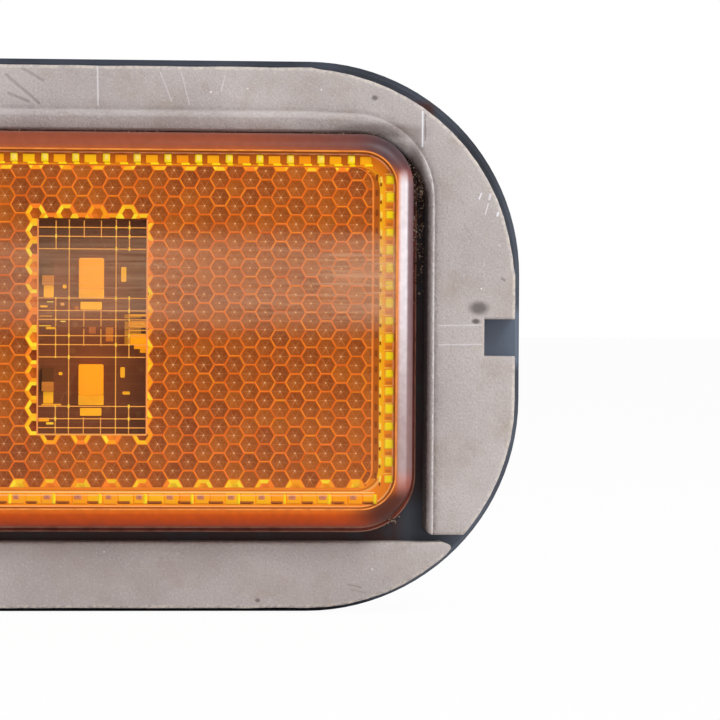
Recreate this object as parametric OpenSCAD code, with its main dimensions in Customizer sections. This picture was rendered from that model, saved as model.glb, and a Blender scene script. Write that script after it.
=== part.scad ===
// Side marker lamp with a built-in reflex reflector, for the side of a truck or trailer.
// X runs along the lamp, Z is up and the lens faces -Y.
// The origin lies midway between the two studs, on the plane of the bracket that carries them.

/* [Flange] */
// Width of the mounting flange
flange_w = 116.8; // [112:0.2:130]
// Height of the mounting flange
flange_h = 74.8; // [72:0.2:90]
// Corner radius of the flange
flange_r = 29; // [20:0.5:33]
// Thickness of the flange plate
flange_t = 3.2; // [2.4:0.1:5]
// Chamfer along the outer edges of the flange
flange_chamfer = 0.6; // [0.2:0.1:1]
// Depth of the stiffening skirt behind the flange's edge
skirt_d = 2.4; // [1:0.1:5]
// Wall of the stiffening skirt
skirt_wall = 1.8; // [1.2:0.1:3]

/* [Tub] */
// Depth of the tub behind the flange
tub_d = 12; // [10:0.5:20]
// Wall of the tub
tub_wall = 2.2; // [1.6:0.1:3]
// Corner radius inside the tub
tub_r = 4; // [2:0.5:6]
// Thickness of the ribs between tub and flange
rib_t = 1.6; // [1:0.1:2.4]
// How far a rib reaches out under the flange
rib_reach = 8; // [5:0.5:9]

/* [Lens] */
// Width of the lens over its lip
lens_w = 88.2; // [80:0.2:90]
// Height of the lens over its lip
lens_h = 54.9; // [50:0.1:56]
// Corner radius of the lip in plan
lens_r = 7.9; // [6:0.1:10]
// Height of the lens face above the flange
lens_rise = 10; // [9:0.5:14]
// Height of the lens centre above the flange centre
lens_lift = 0.9; // [0:0.1:1.4]
// Width of the lip round the foot of the lens
lip_w = 0.8; // [0.6:0.1:1.2]
// Thickness of the lip
lip_t = 1.5; // [1:0.1:2]
// Thickness of the lens side wall
lens_wall = 2.2; // [1.8:0.1:2.6]
// Thickness of the lens face
lens_face_t = 2.4; // [2:0.1:3]
// Draft of the side wall over its height
lens_draft = 0.4; // [0.2:0.1:0.6]
// Rounding between side wall and face
lens_round = 2.2; // [1.4:0.1:2.4]
// Width of the weld rib under the side wall
weld_rib_w = 1.2; // [0.8:0.1:1.4]
// Height of the weld rib
weld_rib_h = 1; // [0.6:0.1:1.6]

/* [Reflex pins] */
// Size of a hexagonal pin across its flats
pin_flats = 2.36; // [2.2:0.02:3]
// Shift of the pin pattern along X
pin_shift_x = 0.58; // [-1:0.02:1]
// Shift of the pin pattern along Z
pin_shift_z = -1.14; // [-1.2:0.02:1.2]
// Plain border between the pins and the side wall
pin_border = 0.5; // [0.3:0.1:1.5]

/* [LED window] */
// Width of the window in the pin field
window_w = 14.5; // [13:0.1:18]
// Height of the window in the pin field
window_h = 28.8; // [26:0.1:34]
// Height of the window centre above the lens centre
window_lift = 0.3; // [0:0.1:0.6]
// Height of the optic ridges on the inside of the window
ridge_h = 0.6; // [0.3:0.1:0.9]
// Width of an optic ridge at its foot
ridge_w = 0.4; // [0.2:0.05:0.6]

/* [Gasket] */
// Thickness of the foam under the panel
gasket_t = 4.4; // [3:0.1:5]
// Bare margin of flange outside the foam
gasket_margin = 1.1; // [0.6:0.1:2]
// Open slot between the lens and the sides of the foam
slot_w = 1.1; // [0.6:0.1:2]
// Open slot between the lens and the top of the foam
slot_top = 0.2; // [0.1:0.1:1]
// How much rounder the corners of the foam's window are than the lens
window_extra_r = 1; // [0.5:0.1:2]
// How far the bead at the window's edge stands above the foam
bead_h = 0.8; // [0.4:0.1:1.2]
// Width of the bead at the sides
bead_side_w = 1.3; // [1:0.1:3]
// Width of the bead at the top
bead_top_w = 2.2; // [1.5:0.1:4]
// Gap between the main foam and the bottom strip
strip_gap = 1; // [0.5:0.1:2]
// Height of the notch at each end of the foam
notch_h = 5; // [3:0.1:10]
// Depth of the notch from the foam's edge
notch_d = 4.2; // [2:0.1:5]

/* [Backing frame] */
// Thickness of the plate behind the reflex pins
backing_t = 1.4; // [1:0.1:2]
// Wall of the duct round the LEDs and of the frame's edge
backing_wall = 1.2; // [0.8:0.1:1.6]

/* [Circuit board] */
// Width of the circuit board
board_w = 58; // [52:0.5:64]
// Gap between the circuit board and the tub above and below it
board_gap = 2.45; // [1.5:0.05:3]
// Thickness of the circuit board
board_t = 1.6; // [1:0.1:2]
// Distance from the flange's front face back to the board
board_inset = 1; // [0.5:0.1:1.6]
// Distance of the board screws from the board's edges
screw_inset = 4; // [3.5:0.1:4.5]
// Radius of the screw posts
post_r = 3; // [2.6:0.1:3.4]
// Radius of a board screw's shank
screw_r = 1.25; // [1:0.05:1.4]
// Length of a board screw's shank
screw_l = 7; // [5:0.5:8]
// Distance between the two LEDs
led_pitch = 14.4; // [13:0.1:16]
// Width of an LED package
led_w = 3.4; // [2.8:0.1:4]
// Length of an LED package
led_l = 4.2; // [3:0.1:5]
// Height of an LED package
led_t = 1.9; // [1:0.1:2.5]

/* [Board chips] */
// Length of a chip resistor
resistor_l = 3.2; // [2:0.1:4]
// Width of a chip resistor
resistor_w = 1.6; // [1:0.1:2]
// Height of a chip resistor
resistor_t = 0.6; // [0.4:0.1:1]
// Length of the tantalum capacitor
capacitor_l = 4.2; // [3:0.1:6]
// Width of the tantalum capacitor
capacitor_w = 2.2; // [1.6:0.1:2.4]
// Height of the tantalum capacitor
capacitor_t = 1.6; // [1:0.1:2.5]
// Length of the blocking diode
diode_l = 4.6; // [3:0.1:6]
// Width of the blocking diode
diode_w = 2.6; // [1.6:0.1:4]
// Height of the blocking diode
diode_t = 2; // [1:0.1:2.4]
// Length of the surge suppressor
suppressor_l = 4.8; // [3:0.1:6]
// Width of the surge suppressor
suppressor_w = 3.6; // [2:0.1:4]
// Height of the surge suppressor
suppressor_t = 2.2; // [1:0.1:2.4]
// Distance of the chips in the window from its side
chip_inset = 1.4; // [1.2:0.1:2]
// Distance of the chips outside the duct from its wall
outer_chip_gap = 5; // [3:0.5:8]
// Height of the diode above the window centre, and depth of the suppressor below it
outer_chip_lift = 4; // [2:0.5:6]

/* [Studs] */
// Distance between the two studs
stud_pitch = 64; // [58:1:66]
// Radius of a stud
stud_r = 2.5; // [2:0.5:3]
// How much wider the stud's shank inside the boss is
stud_shoulder = 0.4; // [0.2:0.1:0.8]
// Length of a stud behind its seat
stud_l = 16; // [10:1:24]
// Radius of a stud's head
stud_head_r = 4.5; // [4:0.25:5.5]
// Thickness of a stud's head
stud_head_t = 2.4; // [1.6:0.1:3]
// Radius of the boss round a stud
boss_r = 6.5; // [5.5:0.1:7]
// Height of the boss, from the tub to the bracket
boss_h = 5; // [3:0.5:8]

/* [Plug socket] */
// Width inside the socket
socket_w = 17.6; // [15:0.2:20]
// Height inside the socket
socket_h = 10.6; // [10:0.2:12]
// Wall of the socket
socket_wall = 1.8; // [1.4:0.1:2.2]
// Corner radius inside the socket
socket_r = 2.5; // [1.5:0.5:4]
// Depth of the socket behind the tub
socket_d = 17; // [14:0.5:24]
// Distance of the socket's centre below the flange centre
socket_drop = 15.2; // [14.8:0.1:15.4]
// Distance between the two terminals
terminal_pitch = 6; // [4:0.1:8]
// Width of a terminal
terminal_w = 1.5; // [1:0.1:2.8]
// Thickness of a terminal
terminal_t = 0.8; // [0.5:0.1:1]
// Length of a terminal inside the socket
terminal_l = 10; // [8:0.5:12]

/* [Vent] */
// Radius of the vent hole
vent_r = 1.6; // [1:0.1:2]
// Radius of the membrane over the vent
membrane_r = 4; // [3:0.1:5]
// Radius of the vent cap
vent_cap_r = 5; // [4.5:0.1:6]
// Height of the vent cap
vent_cap_h = 3.2; // [2.8:0.1:4]
// Distance of the vent from the lamp's middle along X
vent_x = 15; // [14:0.5:16]
// Height of the vent above the flange centre
vent_z = 13; // [12:0.5:14]

/* [Clearances] */
// Clearance round pieces that are set into the housing
fit_gap = 0.1; // [0.05:0.01:0.2]
// Clearance between loose inner pieces and the walls round them
inner_gap = 0.3; // [0.2:0.05:0.5]
// Air gap between the reflex pins and the plate behind them
pin_gap = 0.5; // [0.3:0.1:1]

/* [Hidden] */
$fn = 96;
eps = 0.01;

// Stations along Y, from the bracket forward to the lens
seat_y = 0;
tub_back_y = seat_y - boss_h;
tub_floor_y = tub_back_y - tub_wall;
flange_back_y = tub_back_y - tub_d;
flange_front_y = flange_back_y - flange_t;
gasket_front_y = flange_front_y - gasket_t;
lens_front_y = flange_front_y - lens_rise;
lens_inner_y = lens_front_y + lens_face_t;
board_front_y = flange_front_y + board_inset;
board_back_y = board_front_y + board_t;

// Sizes of the lens wall at its foot, and of what fits inside it
wall_out_w = lens_w - 2 * lip_w;
wall_out_h = lens_h - 2 * lip_w;
wall_out_r = lens_r - lip_w;
wall_in_w = wall_out_w - 2 * lens_wall;
wall_in_h = wall_out_h - 2 * lens_wall;
wall_in_r = wall_out_r - lens_wall;
frame_w = wall_in_w - 2 * (inner_gap + lens_draft);
frame_h = wall_in_h - 2 * (inner_gap + lens_draft);
frame_r = wall_in_r;
seat_step = 0.6;
tub_in_w = frame_w - 2 * (backing_wall + seat_step);
tub_in_h = frame_h - 2 * (backing_wall + seat_step);
board_h = tub_in_h - 2 * board_gap;
tub_out_w = tub_in_w + 2 * tub_wall;
tub_out_h = tub_in_h + 2 * tub_wall;
window_z = lens_lift + window_lift;

// Cube-corner pins: radius of the hexagon, and the step from a cube's tip to its next corners
pin_radius = pin_flats / 2 / cos(30);
pin_step = pin_radius / sqrt(2);
pin_root = 0.4;
pin_tip_y = lens_inner_y + pin_root + 2 * pin_step;
backing_front_y = pin_tip_y + pin_gap;
backing_back_y = backing_front_y + backing_t;
duct_w = window_w + 0.3;
duct_h = window_h + 0.3;

// Foam outline and the edges of its window
gasket_w = flange_w - 2 * gasket_margin;
gasket_h = flange_h - 2 * gasket_margin;
gasket_r = flange_r - gasket_margin;
gasket_window_w = lens_w + 2 * slot_w;
gasket_window_r = lens_r + window_extra_r;
gasket_window_top = lens_lift + lens_h / 2 + slot_top;
leg_end_z = lens_lift - lens_h / 2 - slot_top;
strip_top_z = leg_end_z - strip_gap;
notch_r = 0.7;

stud_shank_r = stud_r + stud_shoulder;
screw_head_r = 2 * screw_r;
screw_head_t = 1.2 * screw_r;
socket_z = -socket_drop;
socket_back_y = tub_back_y + socket_d;
terminal_z = socket_z;
potting_border = 2 * terminal_w;
potting_t = potting_border;
potting_h = 5 / 3 * potting_border;
membrane_t = 0.4;
vent_wall = 1;
vent_slot_w = 1.4;

// A rectangle with round corners, centred on the origin
module rounded_rect(w, h, r) {
  square([w - 2 * r, h], center = true);
  square([w, h - 2 * r], center = true);
  for (x = [-1, 1], z = [-1, 1])
    translate([x * (w / 2 - r), z * (h / 2 - r)])
      circle(r);
}

// Extrudes a shape drawn in X and Z from a front station to a back station
module between(front_y, back_y) {
  translate([0, back_y, 0])
    rotate([90, 0, 0])
      linear_extrude(back_y - front_y)
        children();
}

// A round bar along Y
module bar_y(r, front_y, back_y) {
  translate([0, back_y, 0])
    rotate([90, 0, 0])
      cylinder(r = r, h = back_y - front_y);
}

// Half the section of a plate whose outer edge has a chamfer on both faces
module chamfered_section(reach, t, chamfer) {
  polygon([
    [0, 0], [reach - chamfer, 0], [reach, chamfer],
    [reach, t - chamfer], [reach - chamfer, t], [0, t]
  ]);
}

// A plate with round corners and chamfered edges, its back face at Y = 0
module chamfered_plate(w, h, r, t, chamfer) {
  rotate([90, 0, 0]) {
    for (x = [-1, 1], z = [-1, 1])
      translate([x * (w / 2 - r), z * (h / 2 - r), 0])
        rotate_extrude()
          chamfered_section(r, t, chamfer);
    for (turn = [0, 180])
      rotate([0, 0, turn]) {
        translate([-w / 2 + r, 0, 0])
          rotate([90, 0, 90])
            linear_extrude(w - 2 * r)
              chamfered_section(h / 2, t, chamfer);
        translate([0, h / 2 - r, 0])
          rotate([90, 0, 0])
            linear_extrude(h - 2 * r)
              chamfered_section(w / 2, t, chamfer);
      }
  }
}

module at_studs() {
  for (side = [-1, 1])
    translate([side * stud_pitch / 2, 0, 0])
      children();
}

module at_screws() {
  for (x = [-1, 1], z = [-1, 1])
    translate([x * (board_w / 2 - screw_inset), 0, z * (board_h / 2 - screw_inset)])
      children();
}

module at_terminals() {
  for (side = [-1, 1])
    translate([side * terminal_pitch / 2, 0, terminal_z])
      children();
}

// Outline of the tub in plan, grown by a margin
module tub_outline(margin) {
  translate([0, lens_lift])
    rounded_rect(tub_in_w + 2 * margin, tub_in_h + 2 * margin, tub_r + margin);
}

// Ribs that stiffen the flange against the tub, as bars in plan
module rib_bars() {
  for (x = [-1, 0, 1], z = [-1, 1])
    translate([x * tub_out_w / 3, lens_lift + z * (tub_out_h / 2 + rib_reach / 2)])
      square([rib_t, rib_reach + 2 * eps], center = true);
  for (x = [-1, 1], z = [-1, 1])
    translate([x * (tub_out_w / 2 + rib_reach / 2), lens_lift + z * tub_out_h / 4])
      square([rib_reach + 2 * eps, rib_t], center = true);
}

module flange_body() {
  translate([0, flange_back_y, 0])
    chamfered_plate(flange_w, flange_h, flange_r, flange_t, flange_chamfer);
  between(flange_back_y - eps, flange_back_y + skirt_d)
    difference() {
      rounded_rect(flange_w - 2 * flange_chamfer, flange_h - 2 * flange_chamfer,
        flange_r - flange_chamfer);
      rounded_rect(flange_w - 2 * (flange_chamfer + skirt_wall),
        flange_h - 2 * (flange_chamfer + skirt_wall),
        flange_r - flange_chamfer - skirt_wall);
    }
}

module tub_body() {
  between(flange_back_y - eps, tub_back_y)
    tub_outline(tub_wall);
  rib_d = 0.55 * tub_d;
  between(flange_back_y - eps, flange_back_y + rib_d)
    rib_bars();
}

// Ramp on top of the socket that the plug's latch snaps over
module latch_ramp() {
  ramp_w = 0.35 * socket_w;
  ramp_l = 0.25 * socket_w;
  ramp_h = ramp_l / 3;
  translate([-ramp_w / 2, socket_back_y - ramp_h, socket_z + socket_h / 2 + socket_wall - eps])
    rotate([90, 0, 90])
      linear_extrude(ramp_w)
        polygon([[0, 0], [-ramp_l, ramp_h], [-1.25 * ramp_l, ramp_h], [-1.25 * ramp_l, 0]]);
}

module socket_outside() {
  between(tub_back_y - eps, socket_back_y)
    translate([0, socket_z])
      rounded_rect(socket_w + 2 * socket_wall, socket_h + 2 * socket_wall, socket_r + socket_wall);
  latch_ramp();
  rail_h = 1.1 * tub_wall;
  for (side = [-1, 1])
    translate([side * (socket_w / 2 + socket_wall), 0, 0])
      between(tub_back_y - eps, socket_back_y - 1.2 * socket_r)
        translate([0, socket_z])
          square([tub_wall, rail_h], center = true);
}

module housing() {
  color([0.15, 0.16, 0.19])
    difference() {
      union() {
        flange_body();
        tub_body();
        socket_outside();
        at_studs() bar_y(boss_r, tub_back_y - eps, seat_y);
      }
      // Room inside the tub, left open to the lens
      difference() {
        between(flange_front_y - 1, tub_floor_y) tub_outline(0);
        at_screws() bar_y(post_r, board_back_y, tub_floor_y + eps);
      }
      // Groove for the lens's weld rib
      between(flange_front_y - 1, flange_front_y + weld_rib_h + fit_gap)
        translate([0, lens_lift])
          difference() {
            groove_w = weld_rib_w + 2 * fit_gap;
            groove_mid = lens_wall;
            rounded_rect(wall_out_w - groove_mid + groove_w, wall_out_h - groove_mid + groove_w,
              wall_out_r - (groove_mid - groove_w) / 2);
            rounded_rect(wall_out_w - groove_mid - groove_w, wall_out_h - groove_mid - groove_w,
              wall_out_r - (groove_mid + groove_w) / 2);
          }
      // Room for the studs' heads
      at_studs() bar_y(stud_head_r + fit_gap, tub_floor_y - stud_head_t - fit_gap, tub_floor_y);
      // Plug socket, its terminal slots and the bores for studs, screws and vent
      between(tub_back_y, socket_back_y + 1)
        translate([0, socket_z]) rounded_rect(socket_w, socket_h, socket_r);
      between(tub_floor_y - 1, tub_back_y + 1)
        for (side = [-1, 1])
          translate([side * terminal_pitch / 2, terminal_z])
            square([terminal_w + fit_gap, terminal_t + fit_gap], center = true);
      at_studs() bar_y(stud_shank_r + fit_gap / 2, tub_floor_y - 1, seat_y + 1);
      at_screws() bar_y(screw_r + fit_gap / 2, board_back_y - 1, board_back_y + screw_l + 1);
      translate([vent_x, 0, vent_z]) bar_y(vent_r, tub_floor_y - 1, tub_back_y + 1);
    }
}

// Thin slice of the lens's plan, used to hull its outside and its hollow
module lens_slice(w, h, r, y) {
  slice_t = 0.02;
  between(y, y + slice_t)
    translate([0, lens_lift])
      rounded_rect(w, h, r, $fn = 32);
}

module lens_outside() {
  shoulder_y = lens_front_y + lens_round;
  top_w = wall_out_w - 2 * lens_draft;
  top_h = wall_out_h - 2 * lens_draft;
  hull() {
    lens_slice(wall_out_w, wall_out_h, wall_out_r, flange_front_y - 0.02);
    for (angle = [0 : 15 : 90])
      lens_slice(top_w - 2 * lens_round * (1 - cos(angle)), top_h - 2 * lens_round * (1 - cos(angle)),
        wall_out_r - lens_round * (1 - cos(angle)), shoulder_y - lens_round * sin(angle));
  }
}

module lens_hollow() {
  hull() {
    lens_slice(wall_in_w, wall_in_h, wall_in_r, flange_front_y + 0.5);
    lens_slice(wall_in_w - 2 * lens_draft, wall_in_h - 2 * lens_draft, wall_in_r, lens_inner_y);
  }
}

// Corners of a hexagon in half steps of the pin lattice
HEX = [[2, 0], [1, 1], [-1, 1], [-2, 0], [-1, -1], [1, -1]];
// Lattice steps to the neighbour across each side of a hexagon
NEXT = [[3, 1], [0, 2], [-3, 1], [-3, -1], [0, -2], [3, -1]];

function pin_inside(c, cols, rows) = abs(c[0]) <= 3 * cols && abs(c[1]) <= 2 * rows;
function pin_point(c, k, z) = [
  (c[0] + HEX[k][0]) * pin_radius / 2,
  (c[1] + HEX[k][1]) * pin_flats / 2,
  z
];

// A field of cube-corner pins that point up, standing on the plane Z = -root
module pin_field(cols, rows, root) {
  cells = [
    for (i = [-cols : cols], j = [-2 * rows : 2 * rows])
      if ((i + j) % 2 == 0) [3 * i, j]
  ];
  points = [
    for (c = cells) each [
      [c[0] * pin_radius / 2, c[1] * pin_flats / 2, 2 * pin_step],
      for (k = [0 : 5]) pin_point(c, k, k % 2 == 0 ? pin_step : 0),
      for (k = [0 : 5]) pin_point(c, k, -root)
    ]
  ];
  faces = [
    for (n = [0 : len(cells) - 1]) each [
      for (k = [0 : 2 : 4])
        [13 * n, 13 * n + 1 + (k + 2) % 6, 13 * n + 2 + k, 13 * n + 1 + k],
      [for (k = [0 : 5]) 13 * n + 7 + k],
      for (k = [0 : 5])
        if (!pin_inside(cells[n] + NEXT[k], cols, rows))
          [13 * n + 1 + k, 13 * n + 1 + (k + 1) % 6, 13 * n + 7 + (k + 1) % 6, 13 * n + 7 + k]
    ]
  ];
  polyhedron(points, faces);
}

// Pins on the inside of the face, left away at the LED window
module lens_pins() {
  area_w = wall_in_w - 2 * (lens_draft + pin_border);
  area_h = wall_in_h - 2 * (lens_draft + pin_border);
  cols = ceil(area_w / (3 * pin_radius)) + 1;
  rows = ceil(area_h / (2 * pin_flats)) + 1;
  intersection() {
    translate([pin_shift_x, lens_inner_y + pin_root, lens_lift + pin_shift_z])
      rotate([-90, 0, 0])
        pin_field(cols, rows, pin_root + 0.3);
    between(lens_inner_y - 0.2, pin_tip_y + 1)
      difference() {
        translate([0, lens_lift]) rounded_rect(area_w, area_h, wall_in_r, $fn = 24);
        translate([0, window_z]) square([window_w, window_h], center = true);
      }
  }
}

// One optic ridge with drafted sides, lying along X or along Z
module ridge(length, height, along_x) {
  foot = along_x ? [length, 0.1, ridge_w] : [ridge_w, 0.1, length];
  crest = along_x ? [length, 0.1, ridge_w / 4] : [ridge_w / 4, 0.1, length];
  hull() {
    translate([0, lens_inner_y - 0.05, 0]) cube(foot, center = true);
    translate([0, lens_inner_y + height - 0.05, 0]) cube(crest, center = true);
  }
}

// Square optic in front of each LED: ridges that frame it like a ladder
module window_ridges() {
  half = window_h / 4;
  end_gap = 0.2;
  upright_h = 0.85 * ridge_h;
  for (led = [-1, 1])
    translate([0, 0, window_z + led * led_pitch / 2])
      for (side = [-1, 1]) {
        for (share = [0.46, 0.68, 0.85])
          translate([0, 0, side * share * half]) ridge(window_w - 2 * end_gap, ridge_h, true);
        for (share = [0.44, 0.68])
          translate([side * share * half, 0, 0]) ridge(1.9 * half, upright_h, false);
        for (end = [-1, 1])
          translate([side * 0.15 * half, 0, end * 0.72 * half]) ridge(0.4 * half, upright_h, false);
      }
}

module lens() {
  color([0.95, 0.45, 0.08])
    union() {
      difference() {
        union() {
          lens_outside();
          between(flange_front_y - lip_t, flange_front_y)
            translate([0, lens_lift]) rounded_rect(lens_w, lens_h, lens_r, $fn = 48);
        }
        lens_hollow();
      }
      between(flange_front_y - 0.5, flange_front_y + weld_rib_h)
        translate([0, lens_lift])
          difference() {
            rounded_rect(wall_out_w - lens_wall + weld_rib_w, wall_out_h - lens_wall + weld_rib_w,
              wall_out_r - (lens_wall - weld_rib_w) / 2, $fn = 32);
            rounded_rect(wall_out_w - lens_wall - weld_rib_w, wall_out_h - lens_wall - weld_rib_w,
              wall_out_r - (lens_wall + weld_rib_w) / 2, $fn = 32);
          }
      lens_pins();
      window_ridges();
    }
}

// The foam's outline with the notch at each end
module gasket_outline() {
  difference() {
    rounded_rect(gasket_w, gasket_h, gasket_r);
    for (side = [-1, 1])
      translate([side * (gasket_w / 2 + notch_d), 0])
        rounded_rect(4 * notch_d, notch_h, notch_r);
  }
}

// Everything inside a line drawn round the window, down past the legs' ends
module gasket_window(side_margin, top_margin, r) {
  w = gasket_window_w + 2 * side_margin;
  top = gasket_window_top + top_margin;
  bottom = -flange_h / 2 - r - 1;
  translate([0, (top + bottom) / 2])
    rounded_rect(w, top - bottom, r);
}

module above_legs_end() {
  intersection() {
    children();
    translate([-flange_w, leg_end_z]) square([2 * flange_w, 2 * flange_h]);
  }
}

module gasket_main() {
  color([0.7, 0.67, 0.66])
    union() {
      between(gasket_front_y, flange_front_y)
        above_legs_end()
          difference() {
            gasket_outline();
            gasket_window(0, 0, gasket_window_r);
          }
      between(gasket_front_y - bead_h, gasket_front_y + eps)
        above_legs_end()
          difference() {
            gasket_window(bead_side_w, bead_top_w, gasket_window_r + bead_side_w);
            gasket_window(0, 0, gasket_window_r);
          }
    }
}

module gasket_bottom_strip() {
  color([0.66, 0.62, 0.61])
    between(gasket_front_y, flange_front_y)
      difference() {
        gasket_outline();
        translate([-flange_w, strip_top_z]) square([2 * flange_w, 2 * flange_h]);
      }
}

module backing_frame() {
  color([0.2, 0.1, 0.09])
    union() {
      between(backing_front_y, backing_back_y)
        difference() {
          translate([0, lens_lift]) rounded_rect(frame_w, frame_h, frame_r);
          translate([0, window_z]) square([duct_w, duct_h], center = true);
        }
      between(backing_back_y - eps, flange_front_y)
        translate([0, lens_lift])
          difference() {
            rounded_rect(frame_w, frame_h, frame_r);
            rounded_rect(frame_w - 2 * backing_wall, frame_h - 2 * backing_wall,
              frame_r - backing_wall);
          }
      between(backing_back_y - eps, board_front_y)
        translate([0, window_z])
          difference() {
            square([duct_w + 2 * backing_wall, duct_h + 2 * backing_wall], center = true);
            square([duct_w, duct_h], center = true);
          }
    }
}

module circuit_board() {
  color([0.1, 0.25, 0.14])
    difference() {
      between(board_front_y, board_back_y) square([board_w, board_h], center = true);
      at_screws() bar_y(screw_r + fit_gap, board_front_y - 1, board_back_y + 1);
      between(board_front_y - 1, board_back_y + 1)
        for (side = [-1, 1])
          translate([side * terminal_pitch / 2, terminal_z])
            square([terminal_w + fit_gap, terminal_t + fit_gap], center = true);
    }
}

module board_screws() {
  color("silver")
    at_screws() {
      bar_y(screw_r, board_front_y - eps, board_back_y + screw_l);
      difference() {
        bar_y(screw_head_r, board_front_y - screw_head_t, board_front_y);
        // Cross recess
        for (turn = [0, 90])
          translate([0, board_front_y - screw_head_t, 0])
            rotate([0, turn, 0])
              cube([1.4 * screw_r * 2, screw_head_t, 0.5 * screw_r], center = true);
      }
    }
}

// An LED package whose cup is filled almost to its rim
module led(z) {
  cup_r = 0.38 * led_w;
  color([0.95, 0.75, 0.35])
    translate([0, 0, z])
      difference() {
        between(board_front_y - led_t, board_front_y) square([led_w, led_l], center = true);
        bar_y(cup_r, board_front_y - led_t - 1, board_front_y - 0.8 * led_t);
      }
}

module led_upper() { led(window_z + led_pitch / 2); }
module led_lower() { led(window_z - led_pitch / 2); }

// A small part soldered flat on the board's front: a body between two metal ends
module board_chip(x, z, w, l, t, body_colour) {
  end_l = 0.16 * l;
  translate([x, 0, z]) {
    color(body_colour)
      between(board_front_y - t, board_front_y) square([w, l - 2 * end_l + 2 * eps], center = true);
    color("silver")
      for (side = [-1, 1])
        translate([0, 0, side * (l - end_l) / 2])
          between(board_front_y - 0.9 * t, board_front_y) square([1.02 * w, end_l], center = true);
  }
}

chip_x = window_w / 2 - chip_inset;
module resistor(z) {
  board_chip(-chip_x, z, resistor_w, resistor_l, resistor_t, [0.12, 0.12, 0.12]);
}

module resistor_upper() { resistor(window_z + led_pitch / 2); }
module resistor_lower() { resistor(window_z - led_pitch / 2); }

module tantalum_capacitor() {
  board_chip(chip_x - 0.1 * capacitor_w, window_z - 0.1 * capacitor_l,
    capacitor_w, capacitor_l, capacitor_t, [0.9, 0.7, 0.2]);
}

outer_chip_x = duct_w / 2 + backing_wall + outer_chip_gap;
module blocking_diode() {
  board_chip(-outer_chip_x, window_z + outer_chip_lift, diode_w, diode_l, diode_t, [0.1, 0.1, 0.1]);
}

module surge_suppressor() {
  board_chip(outer_chip_x, window_z - outer_chip_lift,
    suppressor_w, suppressor_l, suppressor_t, [0.1, 0.1, 0.1]);
}

module terminal(x) {
  solder_end = 1;
  tip_y = tub_back_y + terminal_l;
  color([0.85, 0.82, 0.7])
    translate([x, 0, terminal_z])
      intersection() {
        between(board_front_y - solder_end, tip_y) square([terminal_w, terminal_t], center = true);
        // The tip is ground to a blunt point
        rotate([0, 90, 0])
          translate([0, 0, -terminal_w])
            linear_extrude(2 * terminal_w)
              polygon([
                [-terminal_t, board_front_y - 2 * solder_end], [terminal_t, board_front_y - 2 * solder_end],
                [terminal_t, tip_y - 2 * terminal_t], [terminal_t / 4, tip_y],
                [-terminal_t / 4, tip_y], [-terminal_t, tip_y - 2 * terminal_t]
              ]);
      }
}

module terminal_supply() { terminal(terminal_pitch / 2); }
module terminal_ground() { terminal(-terminal_pitch / 2); }

module terminal_potting() {
  color([0.25, 0.22, 0.2])
    between(tub_floor_y - potting_t, tub_floor_y)
      translate([0, terminal_z])
        difference() {
          rounded_rect(terminal_pitch + 2 * potting_border, potting_h, 0.4 * potting_h);
          for (side = [-1, 1])
            translate([side * terminal_pitch / 2, 0]) square([terminal_w, terminal_t], center = true);
        }
}

module vent_membrane() {
  color("white")
    translate([vent_x, 0, vent_z])
      bar_y(membrane_r, tub_floor_y - membrane_t, tub_floor_y);
}

// Cap over the vent, with slots that let air in past its rim
module vent_cap() {
  color([0.2, 0.2, 0.22])
    translate([vent_x, 0, vent_z])
      difference() {
        bar_y(vent_cap_r, tub_back_y, tub_back_y + vent_cap_h);
        bar_y(vent_cap_r - vent_wall, tub_back_y - 1, tub_back_y + vent_cap_h - vent_wall);
        for (turn = [0 : 60 : 120])
          rotate([0, turn, 0])
            translate([0, tub_back_y + vent_slot_w / 2 - eps, 0])
              cube([3 * vent_cap_r, vent_slot_w, vent_slot_w], center = true);
      }
}

module stud(side) {
  tip_chamfer = 0.8;
  color("silver")
    translate([side * stud_pitch / 2, 0, 0]) {
      bar_y(stud_head_r, tub_floor_y - stud_head_t, tub_floor_y);
      // Wider shank inside the boss, and the thread from the seat on
      bar_y(stud_shank_r, tub_floor_y - eps, seat_y);
      bar_y(stud_r, seat_y - eps, seat_y + stud_l - tip_chamfer);
      translate([0, seat_y + stud_l, 0])
        rotate([90, 0, 0])
          cylinder(r1 = stud_r - tip_chamfer, r2 = stud_r, h = tip_chamfer);
    }
}

module stud_left() { stud(-1); }
module stud_right() { stud(1); }

housing();
lens();
gasket_main();
gasket_bottom_strip();
backing_frame();
circuit_board();
board_screws();
led_upper();
led_lower();
resistor_upper();
resistor_lower();
tantalum_capacitor();
blocking_diode();
surge_suppressor();
terminal_supply();
terminal_ground();
terminal_potting();
vent_membrane();
vent_cap();
stud_left();
stud_right();
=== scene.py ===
# %% [markdown]
# # A side marker lamp, dressed for its portrait
# The lamp is an amber reflex lens with an LED window, a black flange and a grey foam gasket.
# The solids come from the packed model and stay where they are. This script gives each of
# them a finish, and puts finer pieces in place of the lens, the foam, the LEDs and the studs.
# Every length below is written in millimetres and multiplied by `mm`.

import math
import random

import bmesh
import bpy
from mathutils import Matrix, Vector, noise


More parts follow.
